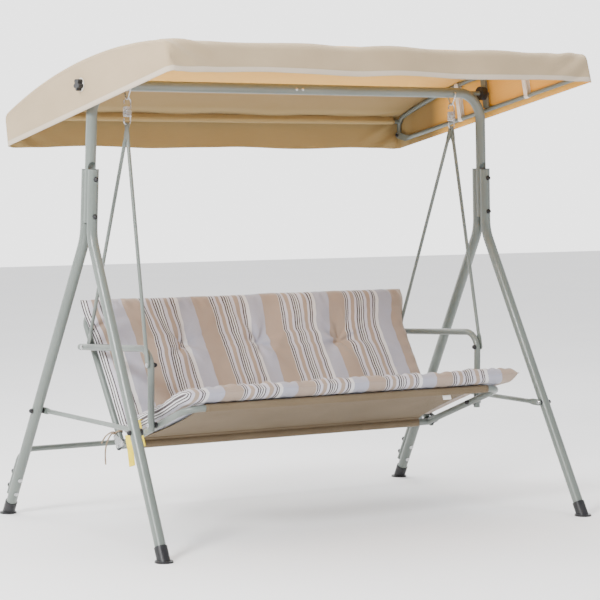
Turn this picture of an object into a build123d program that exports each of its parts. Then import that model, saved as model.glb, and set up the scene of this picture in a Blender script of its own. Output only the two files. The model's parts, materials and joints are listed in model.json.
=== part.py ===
from build123d import *

import os
from math import cos, hypot, pi, radians, sin, sqrt, tan

# Canopy swing bench, in millimetres: X to the right, Y to the back, Z up, origin on the floor
# under the middle of the stand. A piece made once per side takes side = -1 (left) or +1 (right);
# a piece made at the front and at the back takes end = -1 (front) or +1 (rear).
SIDES = {"left": -1, "right": 1}
ENDS = {"front": -1, "rear": 1}
CLEARANCE = 0.05

# Legs and feet
FOOT_X = 817.0  # plane of each A-frame at the floor
LEAN = 0.0305  # how far the A-frame leans inward per millimetre of height
FOOT_Y = 537.0
LEG_D = 35.0
TUBE_WALL = 1.2
LEG_TOP_Z = 1172.0
LEG_BEND_Z = 956.0
LEG_TOP_Y = 22.0  # half the spacing of the two leg tops
LEG_BEND_R = 150.0
LEG_END_Z = 14.0  # where the tube ends inside its foot cap
LEG_SPREAD = (FOOT_Y - LEG_TOP_Y) / LEG_BEND_Z
FOOT_FLANGE_R = 29.0
FOOT_FLANGE_H = 6.0
FOOT_SLEEVE_R = 20.5
FOOT_SLEEVE_L = 50.0
LEG_TOP_BOLT_Z = (1141.0, 1023.0)
BOLT_D = 8.0
BOLT_HOLE_D = 8.3

# Beam, hooks and pivots
BEAM_Z = 1440.0
BEAM_BEND_R = 97.0
BEAM_END_Z = 1003.0
CRIMP_TOP_Z = 1180.0  # the grooves that hold the leg tops end in hollows at this height
GROOVE_D = LEG_D + 0.4
JOINT_BOLT_X = 12.5
JOINT_BOLT_D = 6.0
JOINT_HOLE_D = 6.3
SLEEVE_L = 160.0
HANGER_X = 648.0
HOOK_WIRE_D = 5.0
HOOK_BOTTOM_Z = 1397.5
STUB_D = 15.0
STUB_START_X = 725.0
STUB_END_X = 770.0
PIN_D = 10.0
PIN_END_X = 829.0

# Braces
BRACE_Z = 370.0
BRACE_D = 15.5
BRACE_FLAT = 3.0
BRACE_EYE_W = 22.0
BRACE_FLAT_L = 30.0
BRACE_NECK_L = 52.0
SPACER_T = 5.0
SPACER_D = 20.0
CROSSBAR_D = 19.0
CROSSBAR_BEND_R = 45.0
CROSSBAR_LEG_Z = 215.0  # height on the leg beside which the crossbar turns down
CROSSBAR_END_LEG_Z = 58.0
CROSSBAR_BOLT_LEG_Z = (130.0, 80.0)

# Springs
SPRING_R = 11.75
SPRING_WIRE_D = 4.5
COIL_BOTTOM_Z = 1342.0
COIL_TOP_Z = 1374.0
COIL_TURNS = 6
SPRING_TOP_Z = 1402.5
SPRING_BOTTOM_Z = 1315.5

# Seat and back: two planes that meet at the rear rail, given by the (y, z) of their rails
SIDE_TUBE_X = 620.0
SEAT_TUBE_D = 22.0
SEAT_CORNER_R = 55.0
BACK_CORNER_R = 60.0
FRONT_RAIL = (-334.0, 430.0)
REAR_RAIL = (86.0, 270.0)
BACK_TOP = (367.0, 690.0)
REAR_RAIL_D = 25.0
REAR_RAIL_WALL = 1.5
BACK_TUBE_START = 16.0
BACK_LOWER_RAIL_D = 19.0
BACK_LOWER_RAIL_T = 64.0
PLUG_D = 32.0
PLUG_T = 5.0
PLATE_T = 2.5
PLATE_LOBE_R = 10.0
RIVET_D = 5.0
RIVET_REACH = 30.0  # distance of the outer rivets from the rear rail

# Armrests and hanger rods, with their (y, z) points in side view
ARM_X = 650.0
ARM_D = 22.0
ARM_BEND_R = 60.0
ARM_REAR = (322.0, 576.5)
ARM_FRONT = (-159.0, 607.0)
ARM_LOWER_END = (-159.0, 344.0)
ARM_REAR_BOLT = (293.0, 578.3)
ARM_UPPER_BOLT = (-159.0, 555.0)
ARM_LOWER_BOLT = (-159.0, 363.4)
ROD_D = 12.0
ROD_FLAT = 4.0
ROD_EYE_W = 20.0
ROD_FLAT_L = 34.0
ROD_NECK_L = 58.0
ROD_TOP = (0.0, 1314.2)
ROD_TOP_HOLE_D = 9.6

# Cloth, cushion, tie and tags
CLOTH_T = 2.0
SLEEVE_GAP = 0.15
SEAT_SLING_X = (556.0, 534.0, 576.0)  # half widths at the front rail, the waist and the rear rail
BACK_SLING_X = (540.0, 520.0, 544.0)
CUSHION_X = 628.0
CUSHION_LIFT = 15.5
CUSHION_T = 50.0
CUSHION_OVERHANG = 38.0
CUSHION_BACK_L = 525.0
CUSHION_EDGE_R = 18.0
TIE_D = 5.0
TIE_RING_D = 4.0
TIE_T = 47.0  # how far up the back tube the tie is knotted
TIE_KNOT = (-638.0, 114.0, 309.0)
TIE_LONG = ((-640, 120, 307), (-641.5, 143, 289), (-642, 160, 260), (-642, 166, 228), (-641, 163, 198))
TIE_SHORT = ((-644.4, 115.2, 311.7), (-651, 129, 304), (-656, 146, 290), (-657.5, 161, 271))
TAG_W = 24.0
TAG_T = 0.8
TAG_X = 640.0

# Canopy, in its own tilted frame: u runs back along the hem and w stands up from the pivot
CANOPY_TILT = radians(11.5)
CANOPY_HALF_W = 813.0
HEM_W = -84.0
HEM_FRONT_U = -560.0
ROOF_FRONT_U = -549.0
ROOF_REAR_U = 571.0
CROWN_U = 40.0
CROWN_W = 79.0
ROOF_R = 2690.0
COVER_CORNER_R = 25.0
COVER_EDGE_R = 12.0
CANOPY_TUBE_D = 16.0
CANOPY_TUBE_X = 802.0
PIVOT_BAR_X = (791.0, 801.0)
PIVOT_BAR_W = 24.0
ARCH_INSET = 11.0
ARCH_FOOT_W = -46.0
ARCH_U = (-535.0, 545.0)
ARCH_CORNER_R = (40.0, 45.0)
SIDE_RAIL_W = -58.0
SIDE_RAIL_BOLT_W = -38.0
TONGUE_T = 3.0
TONGUE_H = 22.0
CANOPY_BOLT_D = 6.0
CANOPY_HOLE_D = 6.3
STRAP_U = (-225.0, 159.0)
STRAP_W = 20.0
STRAP_T = 0.8
LABEL_X = (536.0, 600.0)
LABEL_U = (217.0, 267.0)
LABEL_T = 0.6
SLING_LABEL_X = 366.0
SLING_LABEL_W = 34.0
SLING_LABEL_H = 15.0
BUSH_D = 48.0
BUSH_X = (770.5, 790.95)
WASHER_D = 44.0
WASHER_X = (813.3, 814.8)
KNOB_X = 815.1
KNOB_T = 16.0
KNOB_BORE_L = 14.3

os.makedirs("parts", exist_ok=True)


def save(piece, name):
    """Label a finished piece and write it as parts/<name>.step."""
    piece.part.label = name
    export_step(piece.part, f"parts/{name}.step")


# ---------------------------------------------------------------- shared geometry
def leg_point(side, end, z):
    """Point on a leg's centre line at height z."""
    spread = max(0.0, LEG_BEND_Z - z) * LEG_SPREAD
    return Vector(side * (FOOT_X - LEAN * z), end * (LEG_TOP_Y + spread), z)


def beam_end_point(side, z):
    """Point on the centre line of the beam's turned-down end at height z."""
    return Vector(side * (FOOT_X - LEAN * z), 0, z)


def side_point(side, x, yz):
    """Point at a distance x from the middle, on the given side, from a (y, z) pair."""
    return Vector(side * x, yz[0], yz[1])


def slope_plane(rail, toward):
    """Side-view plane with its origin on one rail and its local x axis toward another."""
    run = Vector(0, toward[0] - rail[0], toward[1] - rail[1])
    return Plane(origin=(0, rail[0], rail[1]), x_dir=run, z_dir=(1, 0, 0))


seat_section = slope_plane(FRONT_RAIL, REAR_RAIL)
back_section = slope_plane(REAR_RAIL, BACK_TOP)
seat_length = hypot(REAR_RAIL[0] - FRONT_RAIL[0], REAR_RAIL[1] - FRONT_RAIL[1])
back_length = hypot(BACK_TOP[0] - REAR_RAIL[0], BACK_TOP[1] - REAR_RAIL[1])


def seat_point(x, s, n=0.0):
    """Point of the seat: s back from the front rail, n up from the frame."""
    return seat_section.from_local_coords(Vector(s, n, x))


def back_point(x, t, n=0.0):
    """Point of the back: t up from the rear rail, n forward from the frame."""
    return back_section.from_local_coords(Vector(t, n, x))


def canopy_plane(x=0.0):
    """Side-view plane of the tilted canopy: local x is u and local y is w."""
    run = (0, cos(CANOPY_TILT), -sin(CANOPY_TILT))
    return Plane(origin=(x, 0, BEAM_Z), x_dir=run, z_dir=(1, 0, 0))


def canopy_point(x, u, w):
    """Point of the canopy from its distance to the right and its (u, w) place in side view."""
    return canopy_plane(x).from_local_coords(Vector(u, w, 0))


def canopy_yz(u, w):
    """The (y, z) pair of a place in the canopy's side view."""
    point = canopy_point(0, u, w)
    return (point.Y, point.Z)


def roof_w(u, inset=0.0):
    """Height of the roof's arc at u, moved inward by inset."""
    return CROWN_W - ROOF_R + sqrt((ROOF_R - inset) ** 2 - (u - CROWN_U) ** 2)


# ---------------------------------------------------------------- shared shapes
def sweep_round(path, diameter, wall=TUBE_WALL):
    """Add a round tube, or a solid rod where wall is 0, along a path."""
    with BuildSketch(Plane(origin=path @ 0, z_dir=path % 0)) as section:
        Circle(diameter / 2)
        if wall:
            Circle(diameter / 2 - wall, mode=Mode.SUBTRACT)
    sweep(section.sketch, path=path)


def add_tube(points, radii, diameter, wall=TUBE_WALL):
    """Add a round tube along straight runs joined by arcs."""
    with BuildLine() as route:
        if radii:
            FilletPolyline(*points, radius=radii)
        else:
            Line(*points)
    sweep_round(route.line, diameter, wall)


def add_rod(start, end, diameter, mode=Mode.ADD):
    """Add, or cut, a round rod between two points."""
    run = Vector(*end) - Vector(*start)
    with Locations(Plane(origin=start, z_dir=run)):
        Cylinder(diameter / 2, run.length, align=(Align.CENTER, Align.CENTER, Align.MIN), mode=mode)


def add_across(side, x_from, x_to, yz, diameter, mode=Mode.ADD):
    """Add, or cut, a round rod along X on one side, between two distances from the middle."""
    add_rod(side_point(side, x_from, yz), side_point(side, x_to, yz), diameter, mode)


def drill(centre, direction, diameter, reach=LEG_D):
    """Cut a round hole through a point, the same distance both ways."""
    span = direction.normalized() * reach
    add_rod(centre - span, centre + span, diameter, Mode.SUBTRACT)


def add_flat_eye(eye, inward, size, hole_d):
    """Add the flattened end of a rod that lies square to X, with a round eye and its hole.

    size is (thickness, width, flat length, neck length, rod diameter); inward runs along the rod.
    """
    thickness, width, flat_l, neck_l, rod_d = size
    in_plane = Vector(0, inward.Y, inward.Z).normalized()
    with Locations(Plane(origin=eye + in_plane * (flat_l / 2), x_dir=in_plane, z_dir=(1, 0, 0))):
        Box(flat_l, width, thickness)
    with Locations(Plane(origin=eye, z_dir=(1, 0, 0))):
        Cylinder(width / 2, thickness)
    with BuildSketch(Plane(origin=eye + in_plane * flat_l, x_dir=(1, 0, 0), z_dir=in_plane)) as flat:
        Rectangle(thickness, width)
    across = Vector(0, -in_plane.Z, in_plane.Y).cross(inward)
    with BuildSketch(Plane(origin=eye + inward * neck_l, x_dir=across, z_dir=inward)) as neck:
        Circle(rod_d / 2)
    loft([flat.sketch, neck.sketch])
    drill(eye, Vector(1, 0, 0), hole_d, rod_d)


def make_bolt(diameter, grip, head_d, head_h):
    """A domed bolt: the head stands on z = 0 and the shank runs down to z = -grip."""
    with BuildPart() as bolt:
        with BuildSketch(Plane.XZ):
            with BuildLine():
                Polyline((0, head_h), (0, -grip), (diameter / 2, -grip), (diameter / 2, 0), (head_d / 2, 0))
                Line((head_d / 2, 0), (head_d / 2, head_h * 0.3))
                TangentArc((0, head_h), (head_d / 2, head_h * 0.3), tangent=(1, 0))
            make_face()
        revolve(axis=Axis.Z)
    return bolt.part


def make_cap_nut(diameter, outer_d, height, bore_depth):
    """A domed, capped nut on z = 0 with a blind bore for its bolt."""
    bore_r = diameter / 2 + CLEARANCE
    shoulder = (outer_d * 0.42, height * 0.5)
    with BuildPart() as nut:
        with BuildSketch(Plane.XZ):
            with BuildLine():
                Polyline((0, height), (0, bore_depth), (bore_r, bore_depth), (bore_r, 0), (outer_d / 2, 0))
                Line((outer_d / 2, 0), shoulder)
                TangentArc((0, height), shoulder, tangent=(1, 0))
            make_face()
        revolve(axis=Axis.Z)
    return nut.part


def place_all(piece, seats):
    """Add one copy of a made piece on each seat plane."""
    with Locations(*seats):
        add(piece)


def x_seat(side, x, yz, outward=1):
    """Seat plane square to X, facing away from the middle, or toward it with outward = -1."""
    return Plane(origin=side_point(side, x, yz), z_dir=(side * outward, 0, 0))


cap_nut = make_cap_nut(BOLT_D, 17, 11, 8.5)


# ---------------------------------------------------------------- stand: legs and feet
def crossbar_normal():
    """Direction square to a rear leg, pointing back and up."""
    return Vector(0, 1, LEG_SPREAD).normalized()


def build_leg(side, end):
    points = [leg_point(side, end, z) for z in (LEG_END_Z, LEG_BEND_Z, LEG_TOP_Z)]
    with BuildPart() as leg:
        add_tube(points, [LEG_BEND_R], LEG_D)
        for z in LEG_TOP_BOLT_Z:
            drill(leg_point(side, end, z), Vector(0, 1, 0), BOLT_HOLE_D)
        drill(leg_point(side, end, BRACE_Z), Vector(1, 0, 0), BOLT_HOLE_D)
        if end > 0:
            for z in CROSSBAR_BOLT_LEG_Z:
                drill(leg_point(side, end, z), crossbar_normal(), BOLT_HOLE_D)
    return leg


def build_foot_cap(side, end):
    sole = leg_point(side, end, 0)
    tube_end = leg_point(side, end, LEG_END_Z)
    up = (tube_end - sole).normalized()
    with BuildPart() as cap:
        add_rod(sole - up * FOOT_SLEEVE_L / 2, sole + up * FOOT_SLEEVE_L, 2 * FOOT_SLEEVE_R)
        split(bisect_by=Plane.XY, keep=Keep.TOP)
        with BuildSketch():
            with Locations((sole.X, sole.Y)):
                Circle(FOOT_FLANGE_R)
        extrude(amount=FOOT_FLANGE_H, taper=12)
        add_rod(tube_end, tube_end + up * FOOT_SLEEVE_L, LEG_D + 2 * CLEARANCE, Mode.SUBTRACT)
    return cap


for side_name, side in SIDES.items():
    for end_name, end in ENDS.items():
        save(build_leg(side, end), f"leg_{end_name}_{side_name}")
        save(build_foot_cap(side, end), f"foot_cap_{end_name}_{side_name}")

with BuildPart() as leg_plugs:
    for side in SIDES.values():
        for end in ENDS.values():
            top = leg_point(side, end, LEG_TOP_Z)
            up = (top - leg_point(side, end, LEG_BEND_Z)).normalized()
            add_rod(top, top + up * 2, LEG_D)
            add_rod(top, top - up * 14, LEG_D - 2 * TUBE_WALL - 2 * CLEARANCE)
save(leg_plugs, "leg_plugs")


# ---------------------------------------------------------------- stand: beam and hooks
def build_beam_half(side):
    low = beam_end_point(side, BEAM_END_Z)
    corner = beam_end_point(side, BEAM_Z)
    along_y = Vector(0, 1, 0)
    with BuildPart() as beam:
        add_tube([(0, 0, BEAM_Z), corner, low], [BEAM_BEND_R], LEG_D)
        # The lower end is crimped shut and grooved on both faces, so that the leg tops nest in it.
        add_rod(low, beam_end_point(side, CRIMP_TOP_Z + GROOVE_D / 2), LEG_D)
        for end in ENDS.values():
            offset = along_y * (end * LEG_TOP_Y)
            groove_end = beam_end_point(side, CRIMP_TOP_Z) + offset
            below = beam_end_point(side, BEAM_END_Z - 10) + offset
            add_rod(below, groove_end, GROOVE_D, Mode.SUBTRACT)
            with Locations(groove_end):
                Sphere(GROOVE_D / 2, mode=Mode.SUBTRACT)
        for z in LEG_TOP_BOLT_Z:
            drill(beam_end_point(side, z), along_y, BOLT_HOLE_D)
        drill(Vector(side * HANGER_X, 0, BEAM_Z), along_y, HOOK_WIRE_D + 0.4)
        drill(Vector(side * JOINT_BOLT_X, 0, BEAM_Z), along_y, JOINT_HOLE_D)
        add_across(side, STUB_START_X, STUB_END_X, (0, BEAM_Z), STUB_D)
        add_across(side, STUB_END_X - 2, PIN_END_X, (0, BEAM_Z), PIN_D)
    return beam


for side_name, side in SIDES.items():
    save(build_beam_half(side), f"beam_{side_name}")

with BuildPart() as beam_sleeve:
    sleeve_ends = [(-SLEEVE_L / 2, 0, BEAM_Z), (SLEEVE_L / 2, 0, BEAM_Z)]
    add_tube(sleeve_ends, None, LEG_D - 2 * TUBE_WALL - 2 * CLEARANCE, 2.0)
    for x in (-JOINT_BOLT_X, JOINT_BOLT_X):
        drill(Vector(x, 0, BEAM_Z), Vector(0, 1, 0), JOINT_HOLE_D)
save(beam_sleeve, "beam_sleeve")

with BuildPart() as beam_hooks:
    hook_shoulder = LEG_D / 2 + 5
    hook_half = [(8, BEAM_Z), (hook_shoulder, BEAM_Z), (hook_shoulder, BEAM_Z - 10), (5, HOOK_BOTTOM_Z)]
    for side in SIDES.values():
        near = [(side * HANGER_X, -y, z) for y, z in hook_half]
        far = [(side * HANGER_X, y, z) for y, z in reversed(hook_half)]
        add_tube(near + far, [4, 8, 4, 4, 8, 4], HOOK_WIRE_D, wall=0)
save(beam_hooks, "beam_hooks")

joint_x = (-JOINT_BOLT_X, JOINT_BOLT_X)
with BuildPart() as beam_joint_bolts:
    place_all(
        make_bolt(JOINT_BOLT_D, LEG_D + 6, 11, 4),
        [Plane(origin=(x, -LEG_D / 2, BEAM_Z), z_dir=(0, -1, 0)) for x in joint_x],
    )
save(beam_joint_bolts, "beam_joint_bolts")

leg_bolt_y = LEG_TOP_Y + LEG_D / 2
leg_bolt_xz = [(beam_end_point(side, z).X, z) for side in SIDES.values() for z in LEG_TOP_BOLT_Z]
with BuildPart() as leg_top_bolts:
    place_all(
        make_bolt(BOLT_D, 2 * leg_bolt_y + 8, 16, 5),
        [Plane(origin=(x, leg_bolt_y, z), z_dir=(0, 1, 0)) for x, z in leg_bolt_xz],
    )
save(leg_top_bolts, "leg_top_bolts")

# ---------------------------------------------------------------- stand: braces and crossbar
brace_leg = leg_point(1, 1, BRACE_Z)
spacer_x = brace_leg.X - LEG_D / 2 - SPACER_T
brace_inner_x = spacer_x - BRACE_FLAT
brace_x = spacer_x - BRACE_FLAT / 2
brace_outer_x = brace_leg.X + LEG_D / 2 + 0.3
brace_spots = [(side, (end * brace_leg.Y, BRACE_Z)) for side in SIDES.values() for end in ENDS.values()]


def build_side_brace(side):
    reach = brace_leg.Y
    size = (BRACE_FLAT, BRACE_EYE_W, BRACE_FLAT_L, BRACE_NECK_L, BRACE_D)
    with BuildPart() as brace:
        ends = [(side * brace_x, end * (reach - BRACE_NECK_L), BRACE_Z) for end in ENDS.values()]
        add_rod(ends[0], ends[1], BRACE_D)
        for end in ENDS.values():
            add_flat_eye(Vector(side * brace_x, end * reach, BRACE_Z), Vector(0, -end, 0), size, BOLT_HOLE_D)
    return brace


for side_name, side in SIDES.items():
    save(build_side_brace(side), f"side_brace_{side_name}")

with BuildPart() as brace_spacers:
    for side, yz in brace_spots:
        add_across(side, spacer_x, spacer_x + 2 * SPACER_T, yz, SPACER_D)
        add_across(side, spacer_x - 1, spacer_x + 3 * SPACER_T, yz, BOLT_HOLE_D, Mode.SUBTRACT)
        end = 1 if yz[0] > 0 else -1
        leg_below, leg_above = [leg_point(side, end, BRACE_Z + dz) for dz in (-60, 60)]
        add_rod(leg_below, leg_above, LEG_D + 2 * CLEARANCE, Mode.SUBTRACT)
save(brace_spacers, "brace_spacers")

with BuildPart() as rear_crossbar:
    bar_reach = (LEG_D + CROSSBAR_D) / 2 + 0.1
    bar_offset = crossbar_normal() * bar_reach
    bar_points = [leg_point(-1, 1, z) + bar_offset for z in (CROSSBAR_END_LEG_Z, CROSSBAR_LEG_Z)]
    bar_points += [leg_point(1, 1, z) + bar_offset for z in (CROSSBAR_LEG_Z, CROSSBAR_END_LEG_Z)]
    add_tube(bar_points, [CROSSBAR_BEND_R] * 2, CROSSBAR_D)
    crossbar_spots = [leg_point(side, 1, z) for side in SIDES.values() for z in CROSSBAR_BOLT_LEG_Z]
    for spot in crossbar_spots:
        drill(spot + bar_offset, crossbar_normal(), BOLT_HOLE_D, CROSSBAR_D)
save(rear_crossbar, "rear_crossbar")

with BuildPart() as brace_bolts:
    place_all(
        make_bolt(BOLT_D, brace_outer_x - brace_inner_x + 8, 15, 5),
        [x_seat(side, brace_inner_x, yz, outward=-1) for side, yz in brace_spots],
    )
save(brace_bolts, "brace_bolts")

with BuildPart() as crossbar_bolts:
    leg_front = crossbar_normal() * (-LEG_D / 2)
    place_all(
        make_bolt(BOLT_D, LEG_D + CROSSBAR_D + 8, 16, 5),
        [Plane(origin=spot + leg_front, z_dir=-crossbar_normal()) for spot in crossbar_spots],
    )
save(crossbar_bolts, "crossbar_bolts")

with BuildPart() as stand_cap_nuts:
    bar_back = crossbar_normal() * (bar_reach + CROSSBAR_D / 2)
    place_all(cap_nut, [Plane(origin=(x, -leg_bolt_y, z), z_dir=(0, -1, 0)) for x, z in leg_bolt_xz])
    place_all(cap_nut, [x_seat(side, brace_outer_x, yz) for side, yz in brace_spots])
    place_all(cap_nut, [Plane(origin=spot + bar_back, z_dir=crossbar_normal()) for spot in crossbar_spots])
    place_all(
        make_cap_nut(JOINT_BOLT_D, 12, 8, 6.5),
        [Plane(origin=(x, LEG_D / 2, BEAM_Z), z_dir=(0, 1, 0)) for x in joint_x],
    )
save(stand_cap_nuts, "stand_cap_nuts")


# ---------------------------------------------------------------- hanger springs
def make_spring():
    """The left spring: a coil about Z with an open hook above it and another below it."""
    x = -HANGER_X
    height = COIL_TOP_Z - COIL_BOTTOM_Z
    with BuildPart() as spring:
        with BuildLine() as coil:
            Helix(height / COIL_TURNS, height, SPRING_R, center=(x, 0, COIL_BOTTOM_Z))
        with BuildSketch(Plane(origin=coil.line @ 0, z_dir=coil.line % 0)):
            Circle(SPRING_WIRE_D / 2)
        sweep(is_frenet=True)
        for up, coil_z, tip_z in ((1, COIL_TOP_Z, SPRING_TOP_Z), (-1, COIL_BOTTOM_Z, SPRING_BOTTOM_Z)):
            centre_z = tip_z - up * SPRING_R
            riser_x, open_x = x + SPRING_R, x - SPRING_R
            with BuildLine() as hook:
                Line((riser_x, 0, coil_z), (riser_x, 0, centre_z))
                ThreePointArc((riser_x, 0, centre_z), (x, 0, tip_z), (open_x, 0, centre_z))
                Line((open_x, 0, centre_z), (open_x, 0, centre_z - up * 8))
            with BuildSketch(Plane(origin=hook.line @ 0, z_dir=hook.line % 0)):
                Circle(SPRING_WIRE_D / 2)
            sweep()
            with Locations(Plane(origin=(riser_x, 0, coil_z), z_dir=(0, 1, 0))):
                Cylinder(SPRING_WIRE_D / 2 + 0.2, 5)
    return spring.part


with BuildPart() as springs:
    place_all(make_spring(), [Plane(origin=(x, 0, 0)) for x in (0, 2 * HANGER_X)])
save(springs, "springs")

# ---------------------------------------------------------------- seat: rods and armrests
arm_outer_x = ARM_X + ARM_D / 2
arm_inner_x = ARM_X - ARM_D / 2
side_tube_outer_x = SIDE_TUBE_X + SEAT_TUBE_D / 2
side_tube_inner_x = SIDE_TUBE_X - SEAT_TUBE_D / 2


def build_rod(side, top_x, foot_x, foot_yz):
    """A hanger rod with a flattened eye at each end, both eyes square to X."""
    top = side_point(side, top_x, ROD_TOP)
    foot = side_point(side, foot_x, foot_yz)
    run = (foot - top).normalized()
    size = (ROD_FLAT, ROD_EYE_W, ROD_FLAT_L, ROD_NECK_L, ROD_D)
    with BuildPart() as rod:
        add_rod(top + run * ROD_NECK_L, foot - run * ROD_NECK_L, ROD_D)
        add_flat_eye(top, run, size, ROD_TOP_HOLE_D)
        add_flat_eye(foot, run * -1, size, BOLT_HOLE_D)
    return rod


def build_armrest(side):
    points = [side_point(side, ARM_X, yz) for yz in (ARM_REAR, ARM_FRONT, ARM_LOWER_END)]
    with BuildPart() as arm:
        add_tube(points, [ARM_BEND_R], ARM_D)
        with Locations(points[0]):
            Sphere(ARM_D / 2)
        for yz in (ARM_REAR_BOLT, ARM_UPPER_BOLT, ARM_LOWER_BOLT):
            drill(side_point(side, ARM_X, yz), Vector(1, 0, 0), BOLT_HOLE_D, ARM_D)
    return arm


for side_name, side in SIDES.items():
    eye_offset = ROD_FLAT / 2 + 0.3
    front_rod = build_rod(side, HANGER_X + eye_offset, arm_outer_x + ROD_FLAT / 2, ARM_UPPER_BOLT)
    rear_rod = build_rod(side, HANGER_X - eye_offset, arm_inner_x - ROD_FLAT / 2, ARM_REAR_BOLT)
    save(front_rod, f"rod_front_{side_name}")
    save(rear_rod, f"rod_rear_{side_name}")
    save(build_armrest(side), f"armrest_{side_name}")

with BuildPart() as arm_spacers:
    for side in SIDES.values():
        for x_to, yz in ((arm_inner_x, ARM_LOWER_BOLT), (arm_inner_x - ROD_FLAT, ARM_REAR_BOLT)):
            add_across(side, side_tube_outer_x, x_to, yz, SPACER_D)
            add_across(side, side_tube_outer_x - 1, x_to + 1, yz, BOLT_HOLE_D, Mode.SUBTRACT)
save(arm_spacers, "arm_spacers")

with BuildPart() as arm_bolts:
    long_bolt = make_bolt(BOLT_D, arm_outer_x - side_tube_inner_x + 8, 15, 5)
    short_bolt = make_bolt(BOLT_D, ARM_D + ROD_FLAT + 8, 15, 5)
    for side in SIDES.values():
        place_all(long_bolt, [x_seat(side, arm_outer_x, yz) for yz in (ARM_REAR_BOLT, ARM_LOWER_BOLT)])
        place_all(short_bolt, [x_seat(side, arm_outer_x + ROD_FLAT, ARM_UPPER_BOLT)])
save(arm_bolts, "arm_bolts")

with BuildPart() as seat_cap_nuts:
    for side in SIDES.values():
        for x, yz in (
            (side_tube_inner_x, ARM_REAR_BOLT),
            (side_tube_inner_x, ARM_LOWER_BOLT),
            (arm_inner_x, ARM_UPPER_BOLT),
        ):
            place_all(cap_nut, [x_seat(side, x, yz, outward=-1)])
save(seat_cap_nuts, "seat_cap_nuts")

# ---------------------------------------------------------------- seat: frames and hinge plates
seat_rivet = seat_point(0, seat_length - RIVET_REACH)
back_rivet = back_point(0, RIVET_REACH)
outer_rivets = [(seat_rivet.Y, seat_rivet.Z), (back_rivet.Y, back_rivet.Z)]
all_rivets = outer_rivets + [REAR_RAIL]
plate_x = side_tube_outer_x + PLUG_T


def cut_side_holes(rivet_yz, bolt_yz):
    """Drill both side tubes: the rivet through the outer wall and the arm bolt through both walls."""
    for side in SIDES.values():
        add_across(side, SIDE_TUBE_X, plate_x, rivet_yz, RIVET_D + 0.2, Mode.SUBTRACT)
        drill(side_point(side, SIDE_TUBE_X, bolt_yz), Vector(1, 0, 0), BOLT_HOLE_D, SEAT_TUBE_D)


with BuildPart() as seat_frame:
    seat_corners = [(-SIDE_TUBE_X, seat_length), (-SIDE_TUBE_X, 0)]
    seat_corners += [(SIDE_TUBE_X, 0), (SIDE_TUBE_X, seat_length)]
    add_tube([seat_point(x, s) for x, s in seat_corners], [SEAT_CORNER_R] * 2, SEAT_TUBE_D)
    cope_ends = [seat_point(x, seat_length) for x in (-700, 700)]
    add_rod(cope_ends[0], cope_ends[1], REAR_RAIL_D, Mode.SUBTRACT)
    cut_side_holes(outer_rivets[0], ARM_LOWER_BOLT)
save(seat_frame, "seat_frame")

with BuildPart() as rear_rail:
    rail_ends = [back_point(x, 0) for x in (-side_tube_outer_x, side_tube_outer_x)]
    add_tube(rail_ends, None, REAR_RAIL_D, REAR_RAIL_WALL)
save(rear_rail, "rear_rail")

with BuildPart() as rail_plugs:
    for side in SIDES.values():
        plug_bore = REAR_RAIL_D - 2 * REAR_RAIL_WALL - 2 * CLEARANCE
        add_across(side, side_tube_outer_x, plate_x, REAR_RAIL, PLUG_D)
        add_across(side, side_tube_outer_x - 18, side_tube_outer_x, REAR_RAIL, plug_bore)
        add_across(side, side_tube_outer_x - 20, plate_x + 2, REAR_RAIL, RIVET_D + 0.1, Mode.SUBTRACT)
save(rail_plugs, "rail_plugs")

with BuildPart() as back_frame:
    back_corners = [(-SIDE_TUBE_X, BACK_TUBE_START), (-SIDE_TUBE_X, back_length)]
    back_corners += [(SIDE_TUBE_X, back_length), (SIDE_TUBE_X, BACK_TUBE_START)]
    add_tube([back_point(x, t) for x, t in back_corners], [BACK_CORNER_R] * 2, SEAT_TUBE_D)
    lower_ends = [back_point(x, BACK_LOWER_RAIL_T) for x in (-SIDE_TUBE_X + 8, SIDE_TUBE_X - 8)]
    add_tube(lower_ends, None, BACK_LOWER_RAIL_D)
    cut_side_holes(outer_rivets[1], ARM_REAR_BOLT)
save(back_frame, "back_frame")

with BuildPart() as hinge_plates:
    for side in SIDES.values():
        with BuildSketch(Plane.YZ.offset(side * plate_x)):
            with Locations(*all_rivets):
                Circle(PLATE_LOBE_R)
            make_hull()
        extrude(amount=side * PLATE_T)
        for yz in outer_rivets:
            add_across(side, side_tube_outer_x, plate_x, yz, 12)
        for yz in all_rivets:
            add_across(side, side_tube_outer_x - 1, plate_x + 5, yz, RIVET_D + 0.2, Mode.SUBTRACT)
save(hinge_plates, "hinge_plates")

with BuildPart() as hinge_rivets:
    hinge_rivet = make_bolt(RIVET_D, PLUG_T + PLATE_T + 4, 9, 2.4)
    for side in SIDES.values():
        place_all(hinge_rivet, [x_seat(side, plate_x + PLATE_T, yz) for yz in all_rivets])
save(hinge_rivets, "hinge_rivets")


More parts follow.
